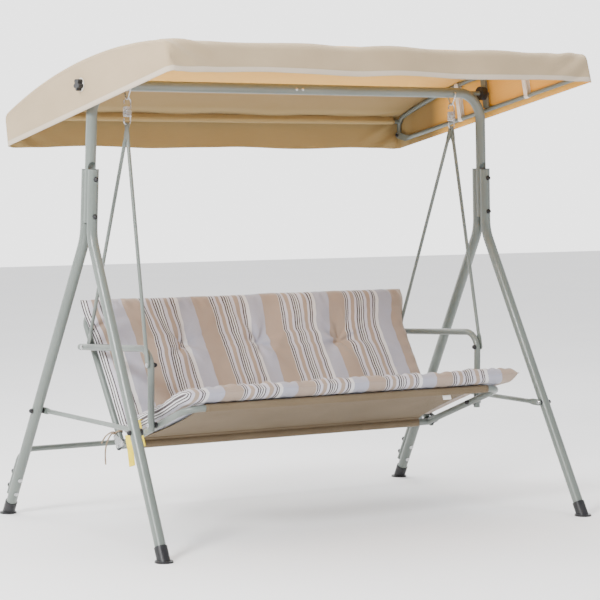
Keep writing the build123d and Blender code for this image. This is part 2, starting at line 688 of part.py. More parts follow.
# ---------------------------------------------------------------- seat: slings
def build_sling(section, rails, half_widths):
    """A cloth stretched over two rails, sewn round each in a sleeve, with hollowed side edges.

    rails holds the (distance, diameter) of the two rails along the section's x axis, and
    half_widths the cloth's half width at the first rail, at the waist and at the second rail.
    """
    (s0, r0), (s1, r1) = [(distance, diameter / 2 + SLEEVE_GAP) for distance, diameter in rails]
    hem = 22.0
    with BuildPart() as sling:
        with BuildSketch(section):
            for s, r in ((s0, r0), (s1, r1)):
                with Locations((s, 0)):
                    Circle(r + CLOTH_T)
            Polygon((s0, r0), (s1, r1), (s1, r1 + CLOTH_T), (s0, r0 + CLOTH_T), align=None)
            for s, r in ((s0, r0), (s1, r1)):
                with Locations((s, 0)):
                    Circle(r, mode=Mode.SUBTRACT)
        extrude(amount=max(half_widths), both=True)
        for side in SIDES.values():
            first = (side * half_widths[0], s0 - hem)
            waist = (side * half_widths[1], (s0 + s1) / 2)
            last = (side * half_widths[2], s1 + hem)
            with BuildSketch(Plane(origin=section.origin, x_dir=(1, 0, 0), z_dir=section.y_dir)):
                with BuildLine():
                    ThreePointArc(first, waist, last)
                    Polyline(last, (side * 700, last[1]), (side * 700, first[1]), first)
                make_face()
            extrude(amount=60, both=True, mode=Mode.SUBTRACT)
    return sling


seat_rails = ((0.0, SEAT_TUBE_D), (seat_length, REAR_RAIL_D))
back_rails = ((BACK_LOWER_RAIL_T, BACK_LOWER_RAIL_D), (back_length, SEAT_TUBE_D))
save(build_sling(seat_section, seat_rails, SEAT_SLING_X), "seat_sling")
save(build_sling(back_section, back_rails, BACK_SLING_X), "back_sling")

with BuildPart() as sling_label:
    sleeve_r = SEAT_TUBE_D / 2 + SLEEVE_GAP + CLOTH_T
    with BuildSketch(seat_section.offset(SLING_LABEL_X)):
        with Locations((0, -sleeve_r - CLEARANCE)):
            Rectangle(LABEL_T, SLING_LABEL_H, align=(Align.CENTER, Align.MAX))
    extrude(amount=SLING_LABEL_W)
save(sling_label, "sling_label")

# ---------------------------------------------------------------- seat: cushion, tie and tags
with BuildPart() as cushion:
    fold = radians(seat_section.x_dir.get_angle(back_section.x_dir)) / 2
    cushion_low, cushion_high = CUSHION_LIFT, CUSHION_LIFT + CUSHION_T
    cushion_corners = [
        seat_point(0, -CUSHION_OVERHANG, cushion_low),
        seat_point(0, -CUSHION_OVERHANG, cushion_high),
        seat_point(0, seat_length - cushion_high * tan(fold), cushion_high),
        back_point(0, CUSHION_BACK_L, cushion_high),
        back_point(0, CUSHION_BACK_L, cushion_low),
        back_point(0, cushion_low * tan(fold), cushion_low),
    ]
    with BuildSketch(Plane.YZ):
        with BuildLine():
            FilletPolyline(
                *[(corner.Y, corner.Z) for corner in cushion_corners],
                radius=[CUSHION_EDGE_R, CUSHION_EDGE_R, 8, CUSHION_EDGE_R, CUSHION_EDGE_R, 30],
                close=True,
            )
        make_face()
    extrude(amount=CUSHION_X, both=True)
save(cushion, "cushion")


def cord_radii(points):
    """Bend radii that use most of the shorter run beside each corner."""
    radii = []
    for before, corner, after in zip(points, points[1:], points[2:]):
        run_in, run_out = corner - before, after - corner
        half_turn = radians(run_in.get_angle(run_out)) / 2
        radii.append(0.45 * min(run_in.length, run_out.length) / tan(half_turn))
    return radii


def build_cord(route):
    points = [Vector(*point) for point in route]
    with BuildPart() as cord:
        add_tube(points, cord_radii(points), TIE_D, wall=0)
    return cord


with BuildPart() as tie_knot:
    ring_r = SEAT_TUBE_D / 2 + CLEARANCE
    with BuildSketch(Plane(origin=back_point(-SIDE_TUBE_X, TIE_T), z_dir=back_section.x_dir)):
        Circle(ring_r + TIE_RING_D)
        Circle(ring_r, mode=Mode.SUBTRACT)
    extrude(amount=TIE_D / 2, both=True)
    with Locations(TIE_KNOT):
        Cylinder(4.2, 8.4, rotation=(20, 50, 10))
save(tie_knot, "tie_knot")
save(build_cord(TIE_LONG), "tie_long_end")
save(build_cord(TIE_SHORT), "tie_short_end")

with BuildPart() as hang_tags:
    # The front tag hangs edge on to the seat's corner, the rear one lies flat against the side.
    for top, bottom, width_dir in (
        (Vector(-TAG_X, -57, 370), Vector(-TAG_X, -89, 289), Vector(0.62, 0.73, -0.29)),
        (Vector(-634.5, 22, 312), Vector(-636.5, -12, 214), Vector(0, 0.942, -0.334)),
    ):
        drop = bottom - top
        with Locations(Plane(origin=top + drop * 0.5, x_dir=width_dir, z_dir=width_dir.cross(drop))):
            Box(TAG_W, drop.length, TAG_T)
        stitch = top + drop * 0.04
        add_rod((-CUSHION_X - 0.1, stitch.Y, stitch.Z), (stitch.X - 1, stitch.Y, stitch.Z), 2)
save(hang_tags, "hang_tags")

# ---------------------------------------------------------------- canopy: arches and rails
def arch_corner(end):
    """Ends and middle, as (u, w), of the arc that turns a post into the roof bow."""
    index = 0 if end < 0 else 1
    radius = ARCH_CORNER_R[index]
    bow_r = ROOF_R - ARCH_INSET - radius
    centre_u = ARCH_U[index] - end * radius
    rise = sqrt(bow_r**2 - (centre_u - CROWN_U) ** 2)
    centre = Vector(centre_u, CROWN_W - ROOF_R + rise)
    on_bow = Vector(centre_u - CROWN_U, rise).normalized()
    on_post = Vector(end, 0)
    middle = (on_bow + on_post).normalized()
    return [centre + direction * radius for direction in (on_post, middle, on_bow)]


front_corner = arch_corner(-1)
rear_corner = arch_corner(1)
cross_rail_uw = [(front_corner[1].X, front_corner[1].Y), (rear_corner[1].X, rear_corner[1].Y)]


def build_arch(side):
    def place(point):
        return canopy_point(side * CANOPY_TUBE_X, point.X, point.Y)

    crown = Vector(CROWN_U, roof_w(CROWN_U, ARCH_INSET))
    with BuildPart() as arch:
        with BuildLine() as route:
            Line(place(Vector(ARCH_U[1], ARCH_FOOT_W)), place(rear_corner[0]))
            ThreePointArc(*[place(point) for point in rear_corner])
            ThreePointArc(place(rear_corner[2]), place(crown), place(front_corner[2]))
            ThreePointArc(*[place(point) for point in reversed(front_corner)])
            Line(place(front_corner[0]), place(Vector(ARCH_U[0], ARCH_FOOT_W)))
        sweep_round(route.line, CANOPY_TUBE_D)
        with BuildSketch(canopy_plane(side * PIVOT_BAR_X[0])):
            low_w, high_w = SIDE_RAIL_W + CANOPY_TUBE_D / 2 + 0.05, roof_w(0, ARCH_INSET)
            with Locations((0, (low_w + high_w) / 2)):
                Rectangle(PIVOT_BAR_W, high_w - low_w)
        extrude(amount=side * (PIVOT_BAR_X[1] - PIVOT_BAR_X[0]))
        add_across(side, PIVOT_BAR_X[0] - 1, PIVOT_BAR_X[1] + 1, (0, BEAM_Z), PIN_D + 0.1, Mode.SUBTRACT)
        for u, w in cross_rail_uw + [(u, SIDE_RAIL_BOLT_W) for u in ARCH_U]:
            drill(canopy_point(side * CANOPY_TUBE_X, u, w), Vector(1, 0, 0), CANOPY_HOLE_D, CANOPY_TUBE_D)
    return arch


def add_side_rail(side):
    """Add one lower rail with a flattened tongue at each end that reaches up to the arch."""
    tongue_x = side * (CANOPY_TUBE_X - CANOPY_TUBE_D / 2 - TONGUE_T / 2)
    tube_ends = (ARCH_U[0] + 75, ARCH_U[1] - 75)
    rail_x = side * CANOPY_TUBE_X
    along_u = canopy_plane().x_dir
    add_tube([canopy_point(rail_x, u, SIDE_RAIL_W) for u in tube_ends], None, CANOPY_TUBE_D)
    for end, post_u, tube_u in zip((-1, 1), ARCH_U, tube_ends):
        flat_u = tube_u + end * 22
        circle_plane = Plane(canopy_point(rail_x, tube_u, SIDE_RAIL_W), x_dir=(1, 0, 0), z_dir=along_u)
        flat_plane = Plane(canopy_point(tongue_x, flat_u, SIDE_RAIL_W), x_dir=(1, 0, 0), z_dir=along_u)
        with BuildSketch(circle_plane) as round_end:
            Circle(CANOPY_TUBE_D / 2)
        with BuildSketch(flat_plane) as flat_end:
            Rectangle(TONGUE_T, TONGUE_H)
        loft([round_end.sketch, flat_end.sketch])
        with BuildSketch(canopy_plane(tongue_x)) as tongue:
            with Locations((post_u, SIDE_RAIL_BOLT_W)):
                Circle(TONGUE_H / 2)
            with Locations((flat_u + end * 5, SIDE_RAIL_W)):
                Rectangle(10, TONGUE_H)
            make_hull()
            with Locations((post_u, SIDE_RAIL_BOLT_W)):
                Circle(CANOPY_HOLE_D / 2, mode=Mode.SUBTRACT)
        extrude(tongue.sketch, amount=TONGUE_T / 2, both=True)


for side_name, side in SIDES.items():
    save(build_arch(side), f"canopy_arch_{side_name}")

with BuildPart() as canopy_side_rails:
    for side in SIDES.values():
        add_side_rail(side)
save(canopy_side_rails, "canopy_side_rails")

with BuildPart() as canopy_cross_rails:
    cross_rail_x = CANOPY_TUBE_X - CANOPY_TUBE_D / 2 - CLEARANCE
    for u, w in cross_rail_uw:
        add_tube([canopy_point(x, u, w) for x in (-cross_rail_x, cross_rail_x)], None, CANOPY_TUBE_D)
        for side in SIDES.values():
            end_yz = canopy_yz(u, w)
            add_across(side, cross_rail_x - 20, cross_rail_x, end_yz, CANOPY_TUBE_D - TUBE_WALL)
            add_across(side, cross_rail_x - 16, cross_rail_x + 1, end_yz, CANOPY_BOLT_D + 0.1, Mode.SUBTRACT)
save(canopy_cross_rails, "canopy_cross_rails")

tube_outer_x = CANOPY_TUBE_X + CANOPY_TUBE_D / 2
tongue_inner_x = CANOPY_TUBE_X - CANOPY_TUBE_D / 2 - TONGUE_T
tongue_yz = [canopy_yz(u, SIDE_RAIL_BOLT_W) for u in ARCH_U]
with BuildPart() as canopy_bolts:
    canopy_bolt = make_bolt(CANOPY_BOLT_D, CANOPY_TUBE_D + TONGUE_T + 6, 12, 0.8)
    for side in SIDES.values():
        for yz in tongue_yz + [canopy_yz(u, w) for u, w in cross_rail_uw]:
            place_all(canopy_bolt, [x_seat(side, tube_outer_x, yz)])
save(canopy_bolts, "canopy_bolts")

with BuildPart() as canopy_cap_nuts:
    canopy_nut = make_cap_nut(CANOPY_BOLT_D, 12, 8, 6.5)
    for side in SIDES.values():
        place_all(canopy_nut, [x_seat(side, tongue_inner_x, yz, outward=-1) for yz in tongue_yz])
save(canopy_cap_nuts, "canopy_cap_nuts")


# ---------------------------------------------------------------- canopy: cover, straps, label
def cover_profile(inset):
    """Side view of the cover from hem to roof, moved inward by inset."""
    front, rear = ROOF_FRONT_U + inset, ROOF_REAR_U - inset
    roof_front = (front, roof_w(front, inset))
    roof_rear = (rear, roof_w(rear, inset))
    with BuildSketch(canopy_plane()) as profile:
        with BuildLine():
            Polyline(roof_front, (HEM_FRONT_U + inset, HEM_W), (rear, HEM_W), roof_rear)
            ThreePointArc(roof_rear, (CROWN_U, CROWN_W - inset), roof_front)
        make_face()
        fillet(profile.vertices().sort_by(Axis.Y)[-2:], radius=COVER_CORNER_R - inset)
    return profile.sketch


def make_cover_block(inset):
    """The solid block inside the cover's surface, moved inward by inset, rounded along both sides."""
    w_axis = Axis(canopy_plane().origin, canopy_plane().y_dir)
    with BuildPart() as block:
        extrude(cover_profile(inset), amount=CANOPY_HALF_W - inset, both=True)
        side_faces = block.faces().sort_by(Axis.X)
        left_edges = side_faces[0].edges().sort_by(w_axis)[1:]
        right_edges = side_faces[-1].edges().sort_by(w_axis)[1:]
        fillet(left_edges + right_edges, radius=COVER_EDGE_R - inset)
    return block.part


hollow = make_cover_block(CLOTH_T)
with BuildPart() as canopy_cover:
    add(make_cover_block(0.0))
    add(hollow, mode=Mode.SUBTRACT)
    for side in SIDES.values():
        add_across(side, CANOPY_HALF_W - 20, CANOPY_HALF_W + 20, (0, BEAM_Z), PIN_D + 2, Mode.SUBTRACT)
save(canopy_cover, "canopy_cover")

with BuildPart() as canopy_straps:
    # Each strap is a band turned round the lower rail; its inner leg reaches the roof cloth and
    # its outer leg ends beside the arch.
    loop_r = CANOPY_TUBE_D / 2 + CLEARANCE
    for side in SIDES.values():
        for u in STRAP_U:
            centre = canopy_point(side * CANOPY_TUBE_X, u, SIDE_RAIL_W)
            inner_h = roof_w(u, CLOTH_T) - SIDE_RAIL_W - 1.5
            outer_h = roof_w(u, ARCH_INSET) - SIDE_RAIL_W - 2
            with BuildSketch(Plane(origin=centre, x_dir=canopy_plane().y_dir, z_dir=canopy_plane().x_dir)):
                Circle(loop_r + STRAP_T)
                Circle(loop_r, mode=Mode.SUBTRACT)
                with Locations((loop_r, 0)):
                    Rectangle(2 * loop_r, 4 * loop_r, mode=Mode.SUBTRACT)
                for height, across in ((inner_h, -side), (outer_h, side)):
                    with Locations((height / 2, across * (loop_r + STRAP_T / 2))):
                        Rectangle(height, STRAP_T)
            extrude(amount=STRAP_W / 2, both=True)
save(canopy_straps, "canopy_straps")

with BuildPart() as cover_label:
    label_ends = [(u, roof_w(u, CLOTH_T) - CLEARANCE) for u in LABEL_U]
    label_low = [(u, w - LABEL_T) for u, w in reversed(label_ends)]
    with BuildSketch(canopy_plane(LABEL_X[0])):
        with BuildLine():
            Polyline(*label_ends, *label_low, close=True)
        make_face()
    extrude(amount=LABEL_X[1] - LABEL_X[0])
save(cover_label, "cover_label")

# ---------------------------------------------------------------- canopy: pivots and knobs
with BuildPart() as canopy_bushes:
    for side in SIDES.values():
        add_across(side, BUSH_X[0], BUSH_X[1], (0, BEAM_Z), BUSH_D)
        add_across(side, BUSH_X[0] - 1, BUSH_X[1] + 1, (0, BEAM_Z), PIN_D + 0.1, Mode.SUBTRACT)
save(canopy_bushes, "canopy_bushes")

with BuildPart() as knob_washers:
    for side in SIDES.values():
        add_across(side, WASHER_X[0], WASHER_X[1], (0, BEAM_Z), WASHER_D)
        add_across(side, WASHER_X[0] - 1, WASHER_X[1] + 1, (0, BEAM_Z), PIN_D + 0.1, Mode.SUBTRACT)
save(knob_washers, "knob_washers")


def build_knob(side):
    """A five-lobed hand knob with a blind bore, turned on the end of the pivot pin."""
    with BuildPart() as knob:
        with BuildSketch(x_seat(side, KNOB_X, (0, BEAM_Z))):
            Circle(13)
            with PolarLocations(13.5, 5):
                Circle(6.5)
        extrude(amount=KNOB_T)
        fillet(knob.faces().sort_by(Axis.X)[0 if side < 0 else -1].edges(), radius=2)
        add_across(side, KNOB_X - 1, KNOB_X + KNOB_BORE_L, (0, BEAM_Z), PIN_D + 0.1, Mode.SUBTRACT)
    return knob


for side_name, side in SIDES.items():
    save(build_knob(side), f"knob_{side_name}")
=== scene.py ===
import json
import math

import bpy
import numpy as np
from mathutils import Matrix, Vector, noise


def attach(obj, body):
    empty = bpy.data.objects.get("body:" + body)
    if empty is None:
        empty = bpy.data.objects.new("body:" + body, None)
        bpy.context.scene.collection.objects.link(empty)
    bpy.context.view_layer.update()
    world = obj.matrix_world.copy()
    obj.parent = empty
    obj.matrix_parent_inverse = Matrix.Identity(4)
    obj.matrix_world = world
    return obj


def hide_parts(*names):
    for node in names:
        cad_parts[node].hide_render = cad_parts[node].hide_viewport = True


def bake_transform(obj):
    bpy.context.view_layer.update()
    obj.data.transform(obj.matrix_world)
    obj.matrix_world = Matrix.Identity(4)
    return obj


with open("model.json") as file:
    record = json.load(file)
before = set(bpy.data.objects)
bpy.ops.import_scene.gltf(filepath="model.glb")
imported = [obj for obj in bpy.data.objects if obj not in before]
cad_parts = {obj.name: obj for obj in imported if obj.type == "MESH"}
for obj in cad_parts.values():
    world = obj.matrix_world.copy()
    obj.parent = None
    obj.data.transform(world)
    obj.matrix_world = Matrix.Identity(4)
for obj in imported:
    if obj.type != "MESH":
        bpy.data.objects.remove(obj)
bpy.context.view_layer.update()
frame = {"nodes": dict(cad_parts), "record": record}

NODES = frame["nodes"]
TURN = 2 * math.pi

# ------------------------------------------------------------------ camera, at the photograph's viewpoint
CAMERA_PLACE = (-4.0756, -6.2852, 1.2337)
CAMERA_YAW, CAMERA_PITCH, CAMERA_ROLL = 0.577, 0.067, 0.004
FOCAL_MM, SENSOR_MM = 133.26, 36.0
FAR_CLIP = 60

cam_data = bpy.data.cameras.new("camera")
cam_data.lens = FOCAL_MM
cam_data.sensor_width = SENSOR_MM
cam_data.clip_end = FAR_CLIP
camera = bpy.data.objects.new("camera", cam_data)
bpy.context.scene.collection.objects.link(camera)
heading = Matrix.Rotation(-CAMERA_YAW, 4, "Z") @ Matrix.Rotation(math.pi / 2 - CAMERA_PITCH, 4, "X")
turned = heading @ Matrix.Rotation(CAMERA_ROLL, 4, "Z")
camera.matrix_world = Matrix.Translation(CAMERA_PLACE) @ turned
bpy.context.scene.camera = camera


# ------------------------------------------------------------------ objects and meshes
def link(obj):
    bpy.context.scene.collection.objects.link(obj)
    return obj


def smooth_faces(mesh):
    mesh.polygons.foreach_set("use_smooth", [True] * len(mesh.polygons))


def mesh_object(name, verts, faces, uvs=None, smooth=True):
    mesh = bpy.data.meshes.new(name)
    mesh.from_pydata([tuple(v) for v in verts], [], faces)
    if uvs is not None:
        layer = mesh.uv_layers.new(name="UVMap")
        index = np.zeros(len(mesh.loops), dtype=np.int32)
        mesh.loops.foreach_get("vertex_index", index)
        layer.data.foreach_set("uv", np.asarray(uvs, dtype=np.float32)[index].ravel())
    mesh.update()
    if smooth:
        smooth_faces(mesh)
    return link(bpy.data.objects.new(name, mesh))


def grid_faces(rows, cols, flip=False):
    faces = []
    for i in range(rows - 1):
        for j in range(cols - 1):
            a, b = i * cols + j, i * cols + j + 1
            c, d = b + cols, a + cols
            faces.append((a, d, c, b) if flip else (a, b, c, d))
    return faces


def edge_ring(rows, cols):
    """The (row, column) pairs along the outer edge of a grid, once round."""
    ring = [(0, j) for j in range(cols)]
    ring += [(i, cols - 1) for i in range(1, rows)]
    ring += [(rows - 1, j) for j in range(cols - 2, -1, -1)]
    ring += [(i, 0) for i in range(rows - 2, 0, -1)]
    return ring


def thicken(obj, thickness, offset=0.0, inner_slot=0):
    """Give a one-layer cloth its thickness, with another material on its inner side if asked."""
    mod = obj.modifiers.new("thickness", "SOLIDIFY")
    mod.thickness = thickness
    mod.offset = offset
    mod.use_even_offset = True
    mod.material_offset = inner_slot
    mod.material_offset_rim = 0
    graph = bpy.context.evaluated_depsgraph_get()
    mesh = bpy.data.meshes.new_from_object(obj.evaluated_get(graph))
    obj.modifiers.clear()
    obj.data = mesh
    smooth_faces(mesh)


def enter(piece, body, node=None):
    """Body of a piece, and the CAD node that it stands for."""
    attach(piece, body)
    if node:
        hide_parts(node)


def tube_along(points, radius, sides=10, closed=False):
    """Vertices and faces of a round tube along a list of points."""
    pts = np.array(points, float)
    count = len(pts)
    if closed:
        tangents = np.roll(pts, -1, 0) - np.roll(pts, 1, 0)
    else:
        tangents = np.gradient(pts, axis=0)
    tangents = unit_rows(tangents)
    normal = np.cross(tangents[0], (0.3, 0.2, 1.0))
    verts, faces = [], []
    for i in range(count):
        normal = normal - tangents[i] * np.dot(normal, tangents[i])
        normal /= np.linalg.norm(normal)
        side = np.cross(tangents[i], normal)
        for j in range(sides):
            a = TURN * j / sides
            verts.append(pts[i] + radius * (math.cos(a) * normal + math.sin(a) * side))
    for i in range(count if closed else count - 1):
        here, there = i * sides, ((i + 1) % count) * sides
        for j in range(sides):
            k = (j + 1) % sides
            faces.append((here + j, here + k, there + k, there + j))
    if not closed:
        faces.append(tuple(reversed(range(sides))))
        faces.append(tuple((count - 1) * sides + j for j in range(sides)))
    return verts, faces


# ------------------------------------------------------------------ numbers along curves
def unit_rows(vectors):
    return vectors / np.linalg.norm(vectors, axis=1)[:, None]


def arc_lengths(points):
    """Distance along a polyline at each of its points."""
    return np.concatenate([[0], np.cumsum(np.linalg.norm(np.diff(points, axis=0), axis=1))])


def straight(a, b, count):
    return [a + (b - a) * t for t in np.linspace(0, 1, count)]


def bend(a, corner, b, count):
    """A rounded corner from a to b, without its first point."""
    steps = np.linspace(0, 1, count)[1:]
    return [(1 - t) ** 2 * a + 2 * t * (1 - t) * corner + t * t * b for t in steps]


def wobble(x, y, z, scale, seed=0.0):
    return noise.noise(Vector((x * scale + seed, y * scale - seed, z * scale + 2 * seed)))


def smoothstep(a, b, x):
    t = np.clip((x - a) / (b - a), 0, 1)
    return t * t * (3 - 2 * t)


def bell(distance, width):
    return math.exp(-(distance / width) ** 2)


def wave(x, pitch, phase=0.0):
    return math.sin(TURN * x / pitch + phase)


# ------------------------------------------------------------------ materials
class Shader:
    """A Principled material being built; numbers go on its own sockets, patterns are linked in."""

    def __init__(self, name, **values):
        self.mat = bpy.data.materials.new(name)
        self.mat.use_nodes = True
        self.tree = self.mat.node_tree
        self.bsdf = self.tree.nodes["Principled BSDF"]
        for key, value in values.items():
            self.bsdf.inputs[key.replace("_", " ")].default_value = value

    def node(self, kind, **values):
        made = self.tree.nodes.new(kind)
        for key, value in values.items():
            if key in made.inputs:
                made.inputs[key].default_value = value
            else:
                setattr(made, key, value)
        return made

    def link(self, a, b):
        self.tree.links.new(a, b)

    def coords(self, kind="Object"):
        return self.node("ShaderNodeTexCoord").outputs[kind]

    def split(self, coords):
        made = self.node("ShaderNodeSeparateXYZ")
        self.link(coords, made.inputs[0])
        return made.outputs

    def noise(self, coords, scale, detail=4.0, stretch=None):
        tex = self.node("ShaderNodeTexNoise", Scale=scale, Detail=detail)
        if stretch:
            mapping = self.node("ShaderNodeMapping")
            mapping.inputs["Scale"].default_value = stretch
            self.link(coords, mapping.inputs["Vector"])
            coords = mapping.outputs["Vector"]
        self.link(coords, tex.inputs["Vector"])
        return tex.outputs["Fac"]

    def ramp(self, fac, stops, constant=False):
        ramp = self.node("ShaderNodeValToRGB")
        ramp.color_ramp.interpolation = "CONSTANT" if constant else "LINEAR"
        elements = ramp.color_ramp.elements
        elements[0].position, elements[0].color = stops[0][0], (*stops[0][1], 1)
        elements[1].position, elements[1].color = stops[1][0], (*stops[1][1], 1)
        for place, colour in stops[2:]:
            elements.new(place).color = (*colour, 1)
        self.link(fac, ramp.inputs["Fac"])
        return ramp.outputs["Color"]

    def greys(self, fac, stops):
        return self.ramp(fac, [(place, (grey,) * 3) for place, grey in stops])

    def math(self, operation, a, b=None, c=None):
        made = self.node("ShaderNodeMath", operation=operation)
        for socket, value in zip(made.inputs, (a, b, c)):
            if value is None:
                continue
            if isinstance(value, (int, float)):
                socket.default_value = value
            else:
                self.link(value, socket)
        return made.outputs[0]

    def mix(self, fac, a, b, blend="MIX"):
        made = self.node("ShaderNodeMix", data_type="RGBA", blend_type=blend)
        for name, value in (("Factor", fac), ("A", a), ("B", b)):
            socket = [s for s in made.inputs if s.name == name and s.enabled][0]
            if isinstance(value, (int, float)):
                socket.default_value = value
            elif isinstance(value, tuple):
                socket.default_value = (*value, 1)
            else:
                self.link(value, socket)
        return [s for s in made.outputs if s.enabled][0]

    def tint(self, mask, share, colour, tone):
        """tone, with a share of colour where the mask is."""
        return self.mix(self.math("MULTIPLY", mask, share), tone, colour)

    def weave(self, coords, pitch):
        """Height of a plain weave: two sets of threads that take turns on top."""
        place = self.split(coords)
        warp, weft = (self.math("SINE", self.math("MULTIPLY", place[i], TURN / pitch)) for i in (0, 1))
        return self.math("MULTIPLY", warp, weft)

    def bump(self, height, strength, distance, under=None):
        made = self.node("ShaderNodeBump", Strength=strength, Distance=distance)
        self.link(height, made.inputs["Height"])
        if under is not None:
            self.link(under, made.inputs["Normal"])
        return made.outputs["Normal"]

    def finish(self, colour=None, roughness=None, normal=None):
        for value, key in ((colour, "Base Color"), (roughness, "Roughness"), (normal, "Normal")):
            if value is not None:
                self.link(value, self.bsdf.inputs[key])
        return self.mat


def paint_material():
    """Satin sage paint with faint patches and a few pale scuffs."""
    s = Shader("sage_paint", Roughness=0.38, Metallic=0.0, Coat_Weight=0.25, Coat_Roughness=0.25)
    where = s.coords()
    patches = s.noise(where, scale=3.0, detail=3.0)
    colour = s.ramp(patches, [(0.3, (0.128, 0.150, 0.134)), (0.7, (0.162, 0.186, 0.168))])
    scuffs = s.greys(s.noise(where, scale=42.0, detail=6.0), [(0.70, 0), (0.78, 1)])
    colour = s.tint(scuffs, 0.18, (0.23, 0.25, 0.24), colour)
    rough = s.greys(s.noise(where, scale=60.0), [(0.3, 0.30), (0.75, 0.48)])
    grain = s.noise(where, scale=260.0, detail=2.0)
    return s.finish(colour, rough, s.bump(grain, strength=0.12, distance=0.0006))


def plastic_material(name, dark, light, roughness):
    s = Shader(name, Roughness=roughness, Specular_IOR_Level=0.4)
    where = s.coords()
    colour = s.ramp(s.noise(where, scale=30.0), [(0.3, dark), (0.75, light)])
    rough = s.greys(s.noise(where, scale=90.0), [(0.3, roughness - 0.08), (0.7, roughness + 0.1)])
    grain = s.noise(where, scale=900.0, detail=2.0)
    return s.finish(colour, rough, s.bump(grain, strength=0.25, distance=0.0003))


def zinc_material():
    s = Shader("zinc_plate", Metallic=1.0, Roughness=0.28)
    where = s.coords()
    spangle = s.noise(where, scale=55.0, detail=5.0)
    colour = s.ramp(spangle, [(0.3, (0.38, 0.39, 0.41)), (0.7, (0.66, 0.66, 0.65))])
    rough = s.greys(s.noise(where, scale=120.0), [(0.3, 0.18), (0.7, 0.40)])
    return s.finish(colour, rough, s.bump(s.noise(where, scale=420.0), strength=0.12, distance=0.0003))


STRIPE_PERIOD = 0.268  # width of cloth after which the stripes repeat
STRIPE_ORIGIN = -1.842  # u at which a repeat begins, left of the whole cushion
TAN, LAVENDER = (0.40, 0.305, 0.235), (0.435, 0.44, 0.525)
LIGHT, WHITE, DARK = (0.64, 0.62, 0.70), (0.80, 0.79, 0.80), (0.055, 0.038, 0.045)
STRIPES = [  # where each colour starts, in millimetres from the start of a repeat
    (0, TAN), (66, WHITE), (69, DARK), (73.5, WHITE), (77, DARK), (81.5, LIGHT), (92, TAN), (106, LIGHT),
    (116, DARK), (120.5, WHITE), (124.5, DARK), (129, WHITE), (133.5, DARK), (138, WHITE), (142.5, DARK),
    (147, LIGHT), (160, TAN), (175, LIGHT), (185, DARK), (189.5, WHITE), (193, DARK), (197.5, WHITE),
    (211, LAVENDER),
]


def striped_material():
    """Printed cotton: stripes across u, woven threads, soft creases."""
    s = Shader(
        "striped_cotton", Roughness=0.88, Sheen_Weight=0.25, Sheen_Roughness=0.5, Specular_IOR_Level=0.2
    )
    uv = s.coords("UV")
    repeats = s.math("DIVIDE", s.math("SUBTRACT", s.split(uv)[0], STRIPE_ORIGIN), STRIPE_PERIOD)
    stops = [(mm / (1000 * STRIPE_PERIOD), rgb) for mm, rgb in STRIPES]
    colour = s.ramp(s.math("FRACT", repeats), stops, constant=True)
    fibres = s.noise(uv, scale=900.0, detail=3.0, stretch=(1.0, 0.12, 1.0))
    colour = s.tint(fibres, 0.22, (0.25, 0.22, 0.22), colour)
    blotch = s.greys(s.noise(uv, scale=6.0, detail=3.0), [(0.35, 0.93), (0.65, 1.0)])
    colour = s.mix(1.0, colour, blotch, "MULTIPLY")
    normal = s.bump(s.noise(uv, scale=14.0, detail=6.0), strength=0.6, distance=0.008)
    normal = s.bump(s.weave(uv, pitch=0.0016), strength=0.25, distance=0.0004, under=normal)
    return s.finish(colour, None, normal)


HEM_WIDTH = 0.016
HEM_STITCH, STITCH_HALF_WIDTH, STITCH_PITCH = 0.0175, 0.0009, 0.007
CANOPY_WEAVE = 0.0018


def canopy_outer_material():
    """Beige woven polyester with a bound hem, painted paler along it as a highlight; v of the UV is the
    distance from the hem.
    """
    s = Shader("canopy_beige", Roughness=0.72, Sheen_Weight=0.15, Specular_IOR_Level=0.25)
    uv = s.coords("UV")
    along, from_hem = s.split(uv)[:2]
    patches = s.noise(uv, scale=5.0, detail=4.0)
    tone = s.ramp(patches, [(0.3, (0.40, 0.300, 0.178)), (0.7, (0.46, 0.35, 0.215))])
    hem = s.math("LESS_THAN", from_hem, HEM_WIDTH)
    # the bound hem is real; its paler colour is a painted highlight along it
    tone = s.tint(hem, 0.6, (0.62, 0.54, 0.45), tone)
    stitch_line = s.math("COMPARE", from_hem, HEM_STITCH, STITCH_HALF_WIDTH)
    dashes = s.math("GREATER_THAN", s.math("SINE", s.math("MULTIPLY", along, TURN / STITCH_PITCH)), -0.3)
    thread = s.math("MULTIPLY", stitch_line, dashes)
    tone = s.tint(thread, 0.5, (0.36, 0.31, 0.24), tone)
    normal = s.bump(s.noise(uv, scale=9.0, detail=5.0), strength=0.30, distance=0.006)
    normal = s.bump(s.weave(uv, CANOPY_WEAVE), strength=0.22, distance=0.0004, under=normal)
    normal = s.bump(s.math("SUBTRACT", hem, thread), strength=0.5, distance=0.0008, under=normal)
    return s.finish(tone, None, normal)


LINING_PAINTED_GLOW = [  # painted light by y + 0.5 m: a painted amber glow of daylight through the cloth ahead, khaki at the rear
    (0.74, (1.0, 0.54, 0.10)),
    (0.84, (0.27, 0.165, 0.048)),
    (0.96, (0.30, 0.195, 0.065)),
    (1.0, (0.40, 0.28, 0.115)),
]


